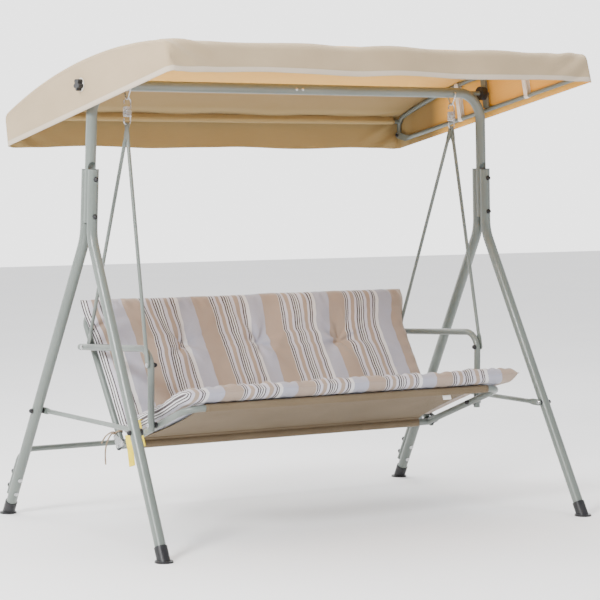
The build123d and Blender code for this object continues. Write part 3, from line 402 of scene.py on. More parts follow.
def canopy_inner_material():
    """The cloth's underside, with a painted amber glow of daylight through the cloth at the front."""
    s = Shader("canopy_lining", Roughness=0.8, Sheen_Weight=0.1, Specular_IOR_Level=0.2)
    # painted light: an amber glow at the front where daylight shines through, khaki behind it
    painted_glow = s.ramp(s.math("ADD", s.split(s.coords())[1], 0.5), LINING_PAINTED_GLOW)
    uv = s.coords("UV")
    tone = s.tint(s.noise(uv, scale=7.0, detail=4.0), 0.16, (0.36, 0.28, 0.17), painted_glow)
    slubs = s.noise(uv, scale=300.0, detail=3.0, stretch=(0.08, 1.0, 1.0))
    tone = s.tint(slubs, 0.16, (0.16, 0.12, 0.07), tone)
    normal = s.bump(s.noise(uv, scale=9.0, detail=5.0), strength=0.25, distance=0.006)
    normal = s.bump(s.weave(uv, CANOPY_WEAVE), strength=0.25, distance=0.0004, under=normal)
    return s.finish(tone, None, normal)


SLING_SEAM_V = 0.030


def sling_material():
    """Open brown mesh with a darker line of stitching along each sleeve."""
    s = Shader("sling_mesh", Roughness=0.7, Specular_IOR_Level=0.3)
    uv = s.coords("UV")
    patches = s.noise(uv, scale=6.0, detail=3.0)
    tone = s.ramp(patches, [(0.3, (0.165, 0.120, 0.070)), (0.7, (0.195, 0.146, 0.089))])
    weave = s.weave(uv, pitch=0.0026)
    holes = s.ramp(s.math("MULTIPLY_ADD", weave, 0.5, 0.5), [(0.04, (0.45, 0.42, 0.38)), (0.30, (1, 1, 1))])
    tone = s.mix(1.0, tone, holes, "MULTIPLY")
    seam = s.math("COMPARE", s.split(uv)[1], SLING_SEAM_V, 0.0012)
    tone = s.tint(seam, 0.5, (0.12, 0.095, 0.06), tone)
    normal = s.bump(weave, strength=0.35, distance=0.0006)
    normal = s.bump(s.noise(uv, scale=8.0, detail=3.0), strength=0.15, distance=0.004, under=normal)
    return s.finish(tone, None, normal)


def tape_material(name, colour_a, colour_b, roughness=0.8):
    s = Shader(name, Roughness=roughness, Specular_IOR_Level=0.25)
    where = s.coords()
    tone = s.ramp(s.noise(where, scale=40.0, detail=3.0), [(0.3, colour_a), (0.7, colour_b)])
    grain = s.noise(where, scale=700.0, detail=2.0)
    return s.finish(tone, None, s.bump(grain, strength=0.3, distance=0.0004))


ZINC = zinc_material()
COTTON = striped_material()
CANOPY_OUT = canopy_outer_material()
CANOPY_IN = canopy_inner_material()
SLING = sling_material()
WHITE_TAPE = tape_material("white_tape", (0.72, 0.70, 0.66), (0.84, 0.82, 0.78))
YELLOW = tape_material("yellow_film", (0.84, 0.62, 0.02), (0.92, 0.72, 0.05), 0.4)
TIE_CLOTH = tape_material("tie_cotton", (0.25, 0.18, 0.125), (0.36, 0.28, 0.20), 0.9)

BY_SLOT = {
    "frame_paint": paint_material(),
    "black_plastic": plastic_material("black_plastic", (0.010, 0.010, 0.011), (0.024, 0.024, 0.026), 0.42),
    "pale_plastic": plastic_material("pale_plastic", (0.62, 0.58, 0.50), (0.72, 0.68, 0.60), 0.5),
    "zinc_steel": ZINC,
    "canopy_cloth": CANOPY_OUT,
    "sling_cloth": SLING,
    "cushion_cloth": COTTON,
    "white_cloth": WHITE_TAPE,
    "tag_card": YELLOW,
}
for entry in frame["record"]["subparts"]:
    for material_slot in NODES[entry["node"]].material_slots:
        material_slot.material = BY_SLOT[entry["material_slot"]]

# ------------------------------------------------------------------ the cushion's tie: two cord ends
TIE_R = 0.0025
TIE_ENDS = {
    "tie_long_end": (
        0.120,
        [(-0.640, 0.120, 0.307), (-0.6415, 0.143, 0.289), (-0.642, 0.160, 0.260),
         (-0.642, 0.166, 0.228), (-0.641, 0.163, 0.198)],
    ),
    "tie_short_end": (
        0.0625,
        [(-0.6444, 0.1152, 0.3117), (-0.651, 0.129, 0.304), (-0.656, 0.146, 0.290), (-0.6575, 0.161, 0.271)],
    ),
}
for name, (length, route) in TIE_ENDS.items():
    curve = bpy.data.curves.new(name + "_cord", "CURVE")
    curve.dimensions = "3D"
    curve.bevel_depth = TIE_R
    curve.bevel_resolution = 4
    curve.use_fill_caps = True
    spline = curve.splines.new("NURBS")
    spline.points.add(len(route) - 1)
    for point, place in zip(spline.points, route):
        point.co = (*place, 1)
    spline.order_u = 3
    spline.use_endpoint_u = True
    spline.resolution_u = 12
    curve.materials.append(TIE_CLOTH)
    cord = link(bpy.data.objects.new(name + "_cord", curve))
    enter(cord, "seat", name)

# ------------------------------------------------------------------ the tie's knot
KNOT_PLACE = np.array((-0.6387, 0.1142, 0.3093))
TURNS_PLACE = np.array((-0.620, 0.11213, 0.30906))  # on the axis of the left back tube
TURNS_R = 0.01305
TURNS_LIFT = 0.0042
TIE_BAND_R = 0.0019
BACK_TUBE_AXIS = np.array((0.0, 0.5561, 0.8311))


def tie_knot():
    """Two turns round the back tube and a small overhand knot outside it."""
    across = np.array((1.0, 0.0, 0.0))
    forward = np.cross(BACK_TUBE_AXIS, across)
    steps = 96
    turns = []
    for i in range(steps):
        a = 2 * TURN * i / steps + math.pi
        lift = (i / (steps - 1) - 0.5) * TURNS_LIFT
        around = math.cos(a) * across + math.sin(a) * forward
        turns.append(TURNS_PLACE + BACK_TUBE_AXIS * lift + TURNS_R * around)
    verts, faces = tube_along(turns, TIE_BAND_R)
    knot = []
    steps = 90
    for i in range(steps):
        a = TURN * i / steps
        r = 0.0031 + 0.0015 * math.cos(3 * a)
        flat = r * math.cos(2 * a) * BACK_TUBE_AXIS + r * math.sin(2 * a) * forward
        knot.append(KNOT_PLACE + flat + 0.0021 * math.sin(3 * a) * across)
    more_verts, more_faces = tube_along(knot, TIE_BAND_R, closed=True)
    start = len(verts)
    faces += [tuple(start + i for i in face) for face in more_faces]
    piece = mesh_object("tie_knot_cloth", verts + more_verts, faces)
    piece.data.materials.append(TIE_CLOTH)
    enter(piece, "seat", "tie_knot")


tie_knot()

# ------------------------------------------------------------------ side-view lines of the seat, as (y, z)
FRONT_RAIL = np.array((-0.334, 0.430))
REAR_RAIL = np.array((0.086, 0.270))
BACK_TOP = np.array((0.367, 0.690))
SEAT_L = float(np.linalg.norm(REAR_RAIL - FRONT_RAIL))
BACK_L = float(np.linalg.norm(BACK_TOP - REAR_RAIL))
SEAT_DIR = (REAR_RAIL - FRONT_RAIL) / SEAT_L
BACK_DIR = (BACK_TOP - REAR_RAIL) / BACK_L
SEAT_UP = np.array((-SEAT_DIR[1], SEAT_DIR[0]))
BACK_UP = np.array((-BACK_DIR[1], BACK_DIR[0]))

# ------------------------------------------------------------------ cushion
PAD_MID = 0.0405  # height of the pad's middle above the rails' axes
PAD_HALF_T = 0.026
PAD_OVERHANG = 0.036
PAD_BACK_L = 0.523
PAD_FOLD_BEND = 0.030
PAD_END_ROUND, PAD_SIDE_ROUND = 0.034, 0.040
PAD_SIDES = {-1: (0.012, 0.017), 1: (0.048, 0.044)}  # growth of the front and top corners, left and right
PAD_NARROW = 0.626  # half width between the armrests
PAD_U = (-0.641, 1.282)  # where the cloth's width starts, and how much of it there is
PAD_GRID = (230, 300)
TUFT_X = (-0.305, -0.008, 0.330)
TUFT_BACK_T = (0.336, 0.331, 0.325)
TUFT_SEAT_SHARE = 0.47  # place of the seat's tufts between the front edge and the fold
TUFT_SPACING = 0.32
TUFT_REACH = 0.26
PUCKER_PITCH, SIDE_PUCKER_PITCH = 0.047, 0.052
WELT_R, WELT_SIDES = 0.0022, 8
HALF_FOLD = math.acos(float(np.clip(SEAT_DIR @ BACK_DIR, -1, 1))) / 2


def cushion_path(count):
    """Middle line of the folded pad: (y, z), the outward direction, the arc length, and the fold's place."""
    inset = PAD_MID * math.tan(HALF_FOLD)
    start = FRONT_RAIL + SEAT_DIR * -PAD_OVERHANG + SEAT_UP * PAD_MID
    corner = FRONT_RAIL + SEAT_DIR * (SEAT_L - inset) + SEAT_UP * PAD_MID
    end = REAR_RAIL + BACK_DIR * PAD_BACK_L + BACK_UP * PAD_MID
    a = corner - SEAT_DIR * PAD_FOLD_BEND
    b = corner + BACK_DIR * PAD_FOLD_BEND
    dense = np.array(straight(start, a, 400) + bend(a, corner, b, 80) + straight(b, end, 400)[1:])
    arc = arc_lengths(dense)
    where = np.linspace(0, arc[-1], count)
    y, z = np.interp(where, arc, dense[:, 0]), np.interp(where, arc, dense[:, 1])
    tangent = unit_rows(np.stack([np.gradient(y), np.gradient(z)], 1))
    normal = np.stack([-tangent[:, 1], tangent[:, 0]], 1)
    crease = float(np.linalg.norm(a - start)) + PAD_FOLD_BEND * 0.9
    return np.stack([y, z], 1), normal, where, arc[-1], crease


def pillow(distance, radius):
    """Rounded edge: 0 at the seam, 1 from the radius inward."""
    t = np.clip(distance / radius, 0, 1)
    return np.sqrt(1 - (1 - t) ** 2)


def cushion_half(side, s, t):
    """Half width of the pad: full corners, sides pulled in between them and past the armrests."""
    front = 1 - smoothstep(0.02, 0.15, s)
    top = smoothstep(0.36, 0.50, t)
    scallop = 0.003 * wave(s, 0.31, side)
    grow_front, grow_top = PAD_SIDES[side]
    return PAD_NARROW + grow_front * front + grow_top * top + scallop * (top + front)


def tuft_relief(x, s, tufts, upper):
    """How far the tufts sink the cloth at (x, s), and how far they pull it towards them."""
    swell, pull_x, pull_s = 0.0, 0.0, 0.0
    depth = 1.0 if upper else 0.25
    for tx, ts in tufts:
        dx, ds = x - tx, s - ts
        r = math.hypot(dx, ds)
        if r > TUFT_REACH:
            continue
        swell -= depth * (0.0215 * bell(r, 0.046) + 0.0075 * bell(r, 0.011))
        if upper:
            angle = math.atan2(ds, dx)
            star = math.cos(5 * angle + 9 * tx) + 0.7 * math.cos(7 * angle + 2.0 + 5 * tx)
            sharp = math.copysign(abs(star) ** 0.7, star)
            swell += 0.0052 * sharp * smoothstep(0.006, 0.035, r) * bell(r, 0.105)
        pull = 0.26 * bell(r, 0.085)
        pull_x -= dx * pull
        pull_s -= ds * pull
    return swell, pull_x, pull_s


def upper_relief(x, s, crease, end_d, side_d):
    """Relief of the upper cloth besides its tufts: the fold, puffs, puckered seams and soft creases."""
    fold = -0.015 * bell(s - crease, 0.024)
    fold += 0.005 * bell(s - crease, 0.10) * (1 + 1.5 * wobble(x, s, 0, 9.0, 3.1))
    on_seat = 1 - smoothstep(crease - 0.04, crease, s)
    puff = 0.5 - 0.5 * math.cos(TURN * (x - TUFT_X[1]) / TUFT_SPACING)
    puffs = 0.012 * puff * on_seat * smoothstep(0.05, 0.16, s)
    puffs += 0.0055 * puff * (1 - on_seat) * smoothstep(0.03, 0.10, end_d)
    pucker = wave(x, PUCKER_PITCH, 5.0 * wobble(x, s * 0.4, 0, 8.0, 1.7)) * bell(end_d - 0.022, 0.026)
    pucker *= 0.0026 * (0.6 + 1.3 * abs(wobble(x, 0, 0, 11.0, 4.0)))
    side_pucker = wave(s, SIDE_PUCKER_PITCH, 4 * wobble(s, x * 0.3, 0, 7.0, 2.7))
    side_pucker *= 0.0020 * bell(side_d - 0.028, 0.030)
    soft = 0.0075 * wobble(x, s, 0.2, 6.5, 0.3) + 0.0040 * wobble(x, s * 0.6, 0.5, 17.0, 5.1)
    ridge = 0.0044 * max(0.45 - 2 * abs(wobble(x, s, 0.1, 9.0, 12.0)), 0)
    return fold + puffs + pucker + side_pucker + soft + ridge


def lower_relief(x, s, end_d):
    pucker = 0.0012 * wave(x, PUCKER_PITCH, 2.0) * bell(end_d - 0.022, 0.026)
    return 0.0020 * wobble(x, s, 0.2, 6.5, 6.3) - 0.002 + pucker


def cushion_layer(layer, path, normals, along, total, crease):
    """One cloth of the pad, upper (1) or lower (-1), as a grid of points."""
    rows, cols = PAD_GRID
    back_start = total - PAD_BACK_L
    tufts = [(x, back_start + t) for x, t in zip(TUFT_X, TUFT_BACK_T)]
    tufts += [(x, crease * TUFT_SEAT_SHARE) for x in TUFT_X]
    share = np.linspace(0, 1, cols)
    share = 0.5 * share + 0.5 * (0.5 - 0.5 * np.cos(math.pi * share))
    verts = np.zeros((rows, cols, 3))
    for i, s in enumerate(along):
        left, right = -cushion_half(-1, s, s - back_start), cushion_half(1, s, s - back_start)
        end_d = min(s, total - s)
        out_y, out_z = normals[i]
        for j in range(cols):
            x = left + (right - left) * share[j]
            side_d = min(x - left, right - x)
            height = PAD_HALF_T * pillow(end_d + 0.0004, PAD_END_ROUND)
            height *= pillow(side_d + 0.0004, PAD_SIDE_ROUND)
            swell, pull_x, pull_s = tuft_relief(x, s, tufts, layer > 0)
            swell += upper_relief(x, s, crease, end_d, side_d) if layer > 0 else lower_relief(x, s, end_d)
            height = max(height + swell * pillow(end_d, 0.026) * pillow(side_d, 0.026), 0.0)
            near_edge = 1 - pillow(side_d, 0.10) * pillow(end_d, 0.06)
            droop = 0.0060 * wobble(x, s, 0.9, 5.0, 8.0) + 0.0016 * wobble(x, s, 0.3, 21.0, 3.0)
            lift = layer * height + max(droop * near_edge, -0.004)
            if end_d < 0.05:
                pull_x += 0.0012 * wave(x, 0.06) * (1 - end_d / 0.05)
            y = np.interp(s + pull_s, along, path[:, 0]) + out_y * lift
            z = np.interp(s + pull_s, along, path[:, 1]) + out_z * lift
            verts[i, j] = (x + pull_x, y, z)
        if end_d < 0.004:
            xs = verts[i, :, 0]
            coarse = np.array([0.0035 * wobble(x, 0, s, 7.0, 9.0) for x in xs])
            fine = np.array([0.0015 * wobble(x, 1, s, 24.0, 1.0) for x in xs])
            way_y, way_z = (-0.93, 0.36) if s < 0.1 else (0.56, 0.83)
            verts[i, :, 1] += (coarse + fine) * way_y
            verts[i, :, 2] += (coarse + fine) * way_z
    return verts


def make_cushion():
    """The pad of two cloths sewn edge to edge, and the welt round its seam."""
    rows, cols = PAD_GRID
    path, normals, along, total, crease = cushion_path(rows)
    upper, lower = (cushion_layer(layer, path, normals, along, total, crease) for layer in (1, -1))
    width_run = np.zeros((rows, cols))
    for grid in (upper, lower):
        steps = np.linalg.norm(np.diff(grid, axis=1), axis=2)
        length = np.concatenate([np.zeros((rows, 1)), np.cumsum(steps, axis=1)], axis=1)
        width_run += 0.5 * length / length[:, -1:]
    uv = np.stack([PAD_U[0] + PAD_U[1] * width_run, np.repeat(along[:, None], cols, axis=1)], 2)

    base = rows * cols
    faces = grid_faces(rows, cols)
    faces += [tuple(base + v for v in face) for face in grid_faces(rows, cols, flip=True)]
    ring = edge_ring(rows, cols)
    for (i0, j0), (i1, j1) in zip(ring, ring[1:] + ring[:1]):
        a, b = i0 * cols + j0, i1 * cols + j1
        faces.append((b, a, base + a, base + b))
    verts = np.concatenate([upper.reshape(-1, 3), lower.reshape(-1, 3)])
    pad = mesh_object("cushion_pad", verts, faces, np.concatenate([uv.reshape(-1, 2)] * 2))
    pad.data.materials.append(COTTON)
    enter(pad, "seat", "cushion")

    seam = (upper + lower) / 2
    verts, faces = tube_along([seam[spot] for spot in ring], WELT_R, WELT_SIDES, closed=True)
    welt = mesh_object("cushion_welt", verts, faces, [uv[spot] for spot in ring for _ in range(WELT_SIDES)])
    welt.data.materials.append(COTTON)
    enter(welt, "seat")


make_cushion()

# ------------------------------------------------------------------ slings
SLING_T = 0.0016
SLING_SAG = 0.0035
SLEEVE_FLAP = 0.0024  # how far the sleeve's sewn end lies below the sheet
SLEEVE_SEAM = 0.86  # share of a turn round the thicker rail at which the stitching runs
SLING_COLS = 90


def make_sling(name, node, origin, along_dir, up_dir, rails, widths):
    """One cloth: a sleeve round each rail, sewn to the underside of the sheet between them."""
    (s0, r0), (s1, r1) = rails
    w0, waist, w1 = widths
    profile = [(s0 + r0 * 2.3, r0 - SLEEVE_FLAP), (s0 + r0 * 1.5, r0 - SLEEVE_FLAP)]
    for a in np.radians(np.linspace(38, -270, 40)):
        profile.append((s0 + r0 * math.cos(a), r0 * math.sin(a)))
    for t in np.linspace(0, 1, 40)[1:-1]:
        profile.append((s0 + (s1 - s0) * t, r0 + (r1 - r0) * t - SLING_SAG * math.sin(math.pi * t)))
    for a in np.radians(np.linspace(90, -218, 40)):
        profile.append((s1 + r1 * math.cos(a), r1 * math.sin(a)))
    profile += [(s1 - r1 * 1.5, r1 - SLEEVE_FLAP), (s1 - r1 * 2.3, r1 - SLEEVE_FLAP)]
    arc = arc_lengths(np.array(profile))
    cloth_l = float(arc[-1])
    seam = TURN * max(r0, r1) * SLEEVE_SEAM
    verts, uvs = [], []
    for (s, n), length in zip(profile, arc):
        t = np.clip((s - s0) / (s1 - s0), 0, 1)
        half = w0 * (1 - t) + w1 * t - 4 * t * (1 - t) * ((w0 + w1) / 2 - waist)
        from_seam = abs(min(length, cloth_l - length) - seam) + SLING_SEAM_V - 0.002
        for x in np.linspace(-half, half, SLING_COLS):
            dip = 0.0012 * wobble(x, s, 0, 5.0, 2.0) * math.sin(math.pi * t)
            y, z = origin + along_dir * s + up_dir * (n + dip)
            verts.append((x, y, z))
            uvs.append((x, from_seam))
    piece = mesh_object(name, verts, grid_faces(len(profile), SLING_COLS), uvs)
    piece.data.materials.append(SLING)
    thicken(piece, SLING_T)
    enter(piece, "seat", node)


make_sling(
    "seat_sling_cloth", "seat_sling", FRONT_RAIL, SEAT_DIR, SEAT_UP,
    ((0.0, 0.0122), (SEAT_L, 0.0137)), (0.556, 0.534, 0.576),
)
make_sling(
    "back_sling_cloth", "back_sling", REAR_RAIL, BACK_DIR, BACK_UP,
    ((0.064, 0.0107), (BACK_L, 0.0122)), (0.540, 0.520, 0.544),
)

# ------------------------------------------------------------------ canopy: u runs back, w up from the pivot
TILT = math.radians(11.5)
U_DIR = np.array((0.0, math.cos(TILT), -math.sin(TILT)))
W_DIR = np.array((0.0, math.sin(TILT), math.cos(TILT)))
PIVOT = np.array((0.0, 0.0, 1.440))
X_DIR = np.array((1.0, 0.0, 0.0))
HEM_W, HEM_FRONT_U = -0.084, -0.560
ROOF_FRONT_U, ROOF_REAR_U = -0.549, 0.571
ROOF_R, CROWN_U, CROWN_W = 2.690, 0.040, 0.079
COVER_HALF, COVER_EDGE_R, COVER_CORNER_R = 0.813, 0.012, 0.025
COVER_T, POCKET_T = 0.0016, 0.0010
COVER_ROWS, COVER_COLS, SIDE_ROWS, EDGE_ROWS = 190, 150, 16, 5
ARCH_INSET = 0.011
POCKET_R, POCKET_HALF_L, POCKET_COLS = 0.0098, 0.772, 160


def canopy_place(x, u, w):
    return PIVOT + X_DIR * x + U_DIR * u + W_DIR * w


def roof_w(u, inset=0.0):
    return CROWN_W - ROOF_R + math.sqrt((ROOF_R - inset) ** 2 - (u - CROWN_U) ** 2)


def cover_profile():
    """Outer side view of the cover from the rear hem over the roof to the front hem, as (u, w)."""
    rear, front, r = ROOF_REAR_U, ROOF_FRONT_U, COVER_CORNER_R
    rear_corner, front_corner = np.array((rear, roof_w(rear))), np.array((front, roof_w(front)))
    front_hem = np.array((HEM_FRONT_U, HEM_W))
    dense = straight(np.array((rear, HEM_W)), rear_corner - (0, r), 60)
    dense += bend(dense[-1], rear_corner, np.array((rear - r, roof_w(rear - r))), 24)
    dense += [np.array((u, roof_w(u))) for u in np.linspace(rear - r, front + r, 500)[1:]]
    down = (front_hem - front_corner) / np.linalg.norm(front_hem - front_corner)
    dense += bend(dense[-1], front_corner, front_corner + down * r, 24)
    dense += straight(front_corner + down * r, front_hem, 60)[1:]
    dense = np.array(dense)
    arc = arc_lengths(dense)
    share = np.linspace(0, 1, COVER_ROWS)
    where = arc[-1] * (0.6 * share + 0.4 * (0.5 - 0.5 * np.cos(share * math.pi)))
    out = np.stack([np.interp(where, arc, dense[:, 0]), np.interp(where, arc, dense[:, 1])], 1)
    tangent = unit_rows(np.gradient(out, axis=0))
    normal = np.stack([tangent[:, 1], -tangent[:, 0]], 1)
    return out, normal, where, arc[-1]


def cover_relief(x, run, from_hem):
    """How far the cloth stands out of its plain shape, on the roof and on the front and rear skirts."""
    from_side = COVER_HALF - abs(x)
    free = 1 - (x / COVER_HALF) ** 2
    on_roof = smoothstep(0.10, 0.22, from_hem)
    on_skirt = 1 - on_roof
    sag = -0.0045 * free * on_roof
    billow = 0.0030 * wobble(x, run, 0, 3.2, 6.0) + 0.0012 * wobble(x, run * 1.4, 1, 10.0, 2.2)
    diagonal = from_side * 0.55 + from_hem
    corner_fold = 0.0045 * math.sin(diagonal * 95) * bell(from_side, 0.13) * on_skirt
    corner_fold *= 0.35 + 0.65 * smoothstep(0.0, 0.05, from_side)
    drape = on_skirt * 0.0040 * wave(x, 0.41, 1.3 + 2 * wobble(x, 0, 0, 2.0, 1.0))
    return min(sag + billow * (0.5 + 0.5 * free) + corner_fold + drape * free, 0.005)


def make_cover():
    """One cloth: side panel, roof strip and other side panel in each row, rows from rear hem to front hem."""
    profile, normals, along, total = cover_profile()
    verts, uvs = [], []
    for p, n, run in zip(profile, normals, along):
        share = run / total
        from_hem = min(run, total - run)
        inner = p - n * COVER_EDGE_R
        hem_u = (ROOF_REAR_U - COVER_EDGE_R) * (1 - share) + (HEM_FRONT_U + COVER_EDGE_R) * share
        side = []
        for t in np.linspace(0, 1, SIDE_ROWS + 1)[:-1]:
            u, w = hem_u + (inner[0] - hem_u) * t, HEM_W + (inner[1] - HEM_W) * t
            slack = 0.0022 * wobble(u, w, 0.4, 6.0, 4.4) * math.sin(math.pi * min(1, t * 1.2))
            side.append((COVER_HALF + slack, u, w, w - HEM_W))
        for a in np.linspace(0, math.pi / 2, EDGE_ROWS + 1)[:-1]:
            u, w = inner + n * COVER_EDGE_R * math.sin(a)
            side.append((COVER_HALF - COVER_EDGE_R + COVER_EDGE_R * math.cos(a), u, w, from_hem))
        row = [(-x, u, w, v) for x, u, w, v in side]
        for x in np.linspace(-(COVER_HALF - COVER_EDGE_R), COVER_HALF - COVER_EDGE_R, COVER_COLS):
            row.append((x, *(p + n * cover_relief(x, run, from_hem)), from_hem))
        row += reversed(side)
        for x, u, w, v in row:
            scallop = 0.0028 * wave(x, 0.55, 0.8) + 0.002 * wobble(x, u, 0, 5.0, 7.0)
            near_hem = math.exp(-max(w - HEM_W, 0) / 0.05) * (abs(x) < COVER_HALF - 0.02)
            verts.append(canopy_place(x, u, w + scallop * near_hem))
            uvs.append((x + 0.6 * u * (abs(x) > COVER_HALF - 0.013), v))
    cols = len(verts) // COVER_ROWS
    piece = mesh_object("canopy_cover_cloth", verts, grid_faces(COVER_ROWS, cols, flip=True), uvs)
    piece.data.materials.append(CANOPY_OUT)
    piece.data.materials.append(CANOPY_IN)
    thicken(piece, COVER_T, offset=-1.0, inner_slot=1)
    enter(piece, "canopy", "canopy_cover")
    return piece


def make_rail_pocket(name, u, w):
    """The cloth channel sewn under the roof that carries one cross rail."""
    reach = roof_w(u, 0.0030) - w
    lean = math.acos(POCKET_R / reach)
    side_u, side_w = POCKET_R * math.sin(lean), POCKET_R * math.cos(lean)
    roof = np.array((u, w + reach))
    right, left = np.array((u + side_u, w + side_w)), np.array((u - side_u, w + side_w))
    loop = straight(roof, right, 8)[:-1]
    for a in np.linspace(lean, TURN - lean, 30):
        loop.append((u + POCKET_R * math.sin(a), w + POCKET_R * math.cos(a)))
    loop += straight(left, roof, 8)[1:-1]
    verts, uvs = [], []
    for x in np.linspace(-POCKET_HALF_L, POCKET_HALF_L, POCKET_COLS):
        for k, (pu, pw) in enumerate(loop):
            slack = 0.0009 * wobble(x, pu, pw, 9.0, k * 0.02)
            low = max(0.0, (w - pw) / POCKET_R + 0.4)
            verts.append(canopy_place(x, pu + slack * low, pw - abs(slack) * low))
            uvs.append((x, 0.03 + 0.002 * k))
    around = len(loop)
    faces = []
    for i in range(POCKET_COLS - 1):
        for j in range(around):
            a, b = i * around + j, i * around + (j + 1) % around
            faces.append((a, b, b + around, a + around))
    piece = mesh_object(name, verts, faces, uvs)
    piece.data.materials.append(CANOPY_IN)
    thicken(piece, POCKET_T)
    enter(piece, "canopy")
    return piece


def arch_corner_middle(end, arch_u, radius):
    """Where a cross rail crosses the rounded corner of the arches, as (u, w)."""
    centre_u = arch_u - end * radius
    bow_r = ROOF_R - ARCH_INSET - radius
    rise = math.sqrt(bow_r ** 2 - (centre_u - CROWN_U) ** 2)
    on_bow = np.array((centre_u - CROWN_U, rise)) / bow_r
    middle = on_bow + np.array((end, 0.0))
    centre = np.array((centre_u, CROWN_W - ROOF_R + rise))
    return centre + middle / np.linalg.norm(middle) * radius


POCKETS = [
    make_rail_pocket("canopy_pocket_front", *arch_corner_middle(-1, -0.535, 0.040)),
    make_rail_pocket("canopy_pocket_rear", *arch_corner_middle(1, 0.545, 0.045)),
]
cover = make_cover()

# ------------------------------------------------------------------ straps and tags
RIBBON_COLS = 7
STRAP_W, STRAP_T = 0.020, 0.0007
STRAP_U = {"front": -0.225, "rear": 0.159}
SIDE_RAIL_X, SIDE_RAIL_W = 0.802, -0.058
STRAP_R, STRAP_OUT = 0.0087, 0.0084  # the strap's distance from the side rail's axis, below and outside it
TAG_W, TAG_T, TAG_CURL = 0.024, 0.0006, 0.0016
TAG_HANG_X = -0.6285
TAGS = {
    "hang_tag_front": ((-0.6455, -0.057, 0.368), (-0.6455, -0.092, 0.287), (0.85, -0.45, 0.20)),
    "hang_tag_rear": ((-0.6345, 0.022, 0.312), (-0.6365, -0.012, 0.214), (-0.45, 0.84, -0.30)),
}


def ribbon(name, points, width_dir, width, thickness, material, body, node=None):
    """A flat band along points; each row runs across it."""
    pts = np.array(points, float)
    wide = np.array(width_dir, float)
    wide /= np.linalg.norm(wide)
    across = np.linspace(-width / 2, width / 2, RIBBON_COLS)
    verts = [p + wide * a for p in pts for a in across]
    uvs = [(a, run) for run in arc_lengths(pts) for a in across]
    piece = mesh_object(name, verts, grid_faces(len(pts), RIBBON_COLS), uvs)
    piece.data.materials.append(material)
    thicken(piece, thickness)
    enter(piece, body, node)


def make_strap(name, side, u, node):
    """A band from the roof, down inside the side rail, round it and up again outside."""
    points = []
    top_in, top_out = roof_w(u, 0.0045), roof_w(u, 0.013)
    for t in np.linspace(0, 1, 14):
        ripple = 0.0008 * math.sin(9 * t + 3 * u)
        x = SIDE_RAIL_X - STRAP_R + ripple
        points.append(canopy_place(side * x, u, top_in + (SIDE_RAIL_W - top_in) * t))
    for a in np.linspace(0, math.pi, 14)[1:]:
        x = SIDE_RAIL_X - STRAP_R * math.cos(a)
        points.append(canopy_place(side * x, u, SIDE_RAIL_W - STRAP_R * math.sin(a)))
    for t in np.linspace(0, 1, 12)[1:]:
        x = SIDE_RAIL_X + STRAP_OUT
        points.append(canopy_place(side * x, u, SIDE_RAIL_W + (top_out - SIDE_RAIL_W) * t))
    ribbon(name, points, U_DIR, STRAP_W, STRAP_T, WHITE_TAPE, "canopy", node)


for side_name, side in (("left", -1), ("right", 1)):
    for end_name, u in STRAP_U.items():
        stands_for = "canopy_straps" if (side_name, end_name) == ("left", "front") else None
        make_strap(f"canopy_strap_{side_name}_{end_name}", side, u, stands_for)

for name, (top, bottom, wide) in TAGS.items():
    top, drop = np.array(top), np.array(bottom) - np.array(top)
    curl = np.cross(drop, np.array(wide))
    curl /= np.linalg.norm(curl)
    steps = np.linspace(0, 1, 12)
    points = [top + drop * t + curl * TAG_CURL * math.sin(math.pi * t * 1.3) for t in steps]
    points.insert(0, np.array((TAG_HANG_X, top[1] + 0.001, top[2] + 0.0005)))
    stands_for = "hang_tags" if name == "hang_tag_rear" else None
    ribbon(name, points, wide, TAG_W, TAG_T, YELLOW, "seat", stands_for)

# ------------------------------------------------------------------ label under the roof
LABEL_U, LABEL_X = (0.217, 0.267), (0.536, 0.600)
LABEL_CELLS = 8
LABEL_T, LABEL_GAP = 0.0006, 0.0008


def make_cover_label():
    """A blank woven label sewn flat under the roof: it follows the cloth above it."""
    surface = cover.evaluated_get(bpy.context.evaluated_depsgraph_get())
    up = Vector(W_DIR)
    verts, uvs = [], []
    for u in np.linspace(*LABEL_U, LABEL_CELLS):
        for x in np.linspace(*LABEL_X, LABEL_CELLS):
            cloth = surface.ray_cast(Vector(canopy_place(x, u, -0.05)), up)[1]
            verts.append(cloth - up * LABEL_GAP)
            uvs.append((x, u))
    piece = mesh_object("cover_label_cloth", verts, grid_faces(LABEL_CELLS, LABEL_CELLS), uvs)
    piece.data.materials.append(WHITE_TAPE)
    thicken(piece, LABEL_T)
    enter(piece, "canopy", "cover_label")


make_cover_label()

# ------------------------------------------------------------------ springs, the CAD wire from hook to rods, in zinc
springs = link(bpy.data.objects.new("springs_wire", NODES["springs"].data.copy()))
smooth_faces(springs.data)
springs.data.materials.clear()
springs.data.materials.append(ZINC)
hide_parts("springs")
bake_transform(springs)

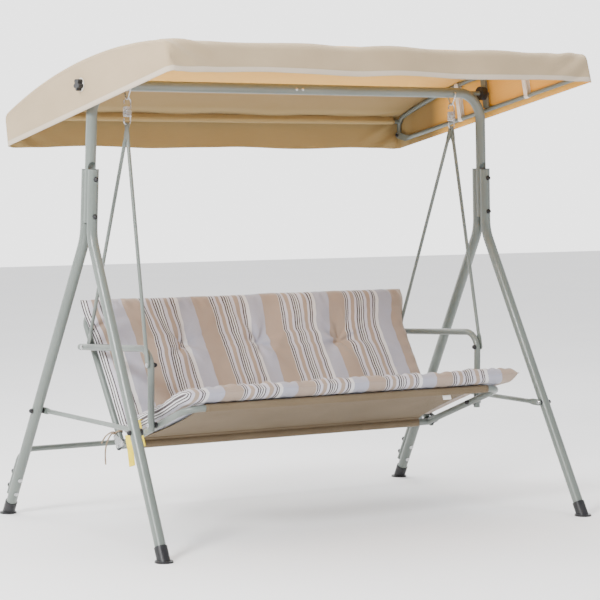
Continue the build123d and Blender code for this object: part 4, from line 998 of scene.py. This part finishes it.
# ------------------------------------------------------------------ stage
FLOOR = 15
corners = [(-FLOOR, -FLOOR, 0), (FLOOR, -FLOOR, 0), (FLOOR, FLOOR, 0), (-FLOOR, FLOOR, 0)]
floor = mesh_object("floor", corners, [(0, 1, 2, 3)], smooth=False)
floor_mat = Shader("floor", Roughness=0.9)
floor_tone = floor_mat.greys(floor_mat.noise(floor_mat.coords(), scale=1.5), [(0.3, 0.92), (0.7, 0.94)])
floor.data.materials.append(floor_mat.finish(floor_tone))

# the sky is bright behind the bench and soft in front of it
SKY_STRENGTH = 2.9
SKY_FRONT, SKY_BEHIND = (0.42, (0.22, 0.22, 0.23, 1)), (0.80, (1, 1, 1, 1))
world = bpy.data.worlds.new("world")
bpy.context.scene.world = world
world.use_nodes = True
sky, wire = world.node_tree.nodes, world.node_tree.links.new
sky_place = sky.new("ShaderNodeTexCoord")
sky_split = sky.new("ShaderNodeSeparateXYZ")
sky_shift = sky.new("ShaderNodeMath")
sky_shift.operation = "MULTIPLY_ADD"
sky_shift.inputs[1].default_value = 0.5
sky_shift.inputs[2].default_value = 0.5
sky_ramp = sky.new("ShaderNodeValToRGB")
for element, (position, colour) in zip(sky_ramp.color_ramp.elements, (SKY_FRONT, SKY_BEHIND)):
    element.position, element.color = position, colour
wire(sky_place.outputs["Generated"], sky_split.inputs[0])
wire(sky_split.outputs["Y"], sky_shift.inputs[0])
wire(sky_shift.outputs[0], sky_ramp.inputs["Fac"])
wire(sky_ramp.outputs["Color"], sky["Background"].inputs["Color"])
sky["Background"].inputs["Strength"].default_value = SKY_STRENGTH


def area_light(name, place, target, size, power):
    data = bpy.data.lights.new(name, "AREA")
    data.energy = power
    data.size = size
    light = link(bpy.data.objects.new(name, data))
    light.location = place
    light.rotation_euler = (Vector(target) - Vector(place)).to_track_quat("-Z", "Y").to_euler()


area_light("key", (-4.6, -2.0, 3.6), (0, 0, 0.7), size=1.2, power=400)
area_light("fill", (2.5, -5.5, 1.8), (0, 0, 0.8), size=3.0, power=40)
area_light("top", (0, 0.5, 5.5), (0, 0, 0.5), size=4.0, power=300)
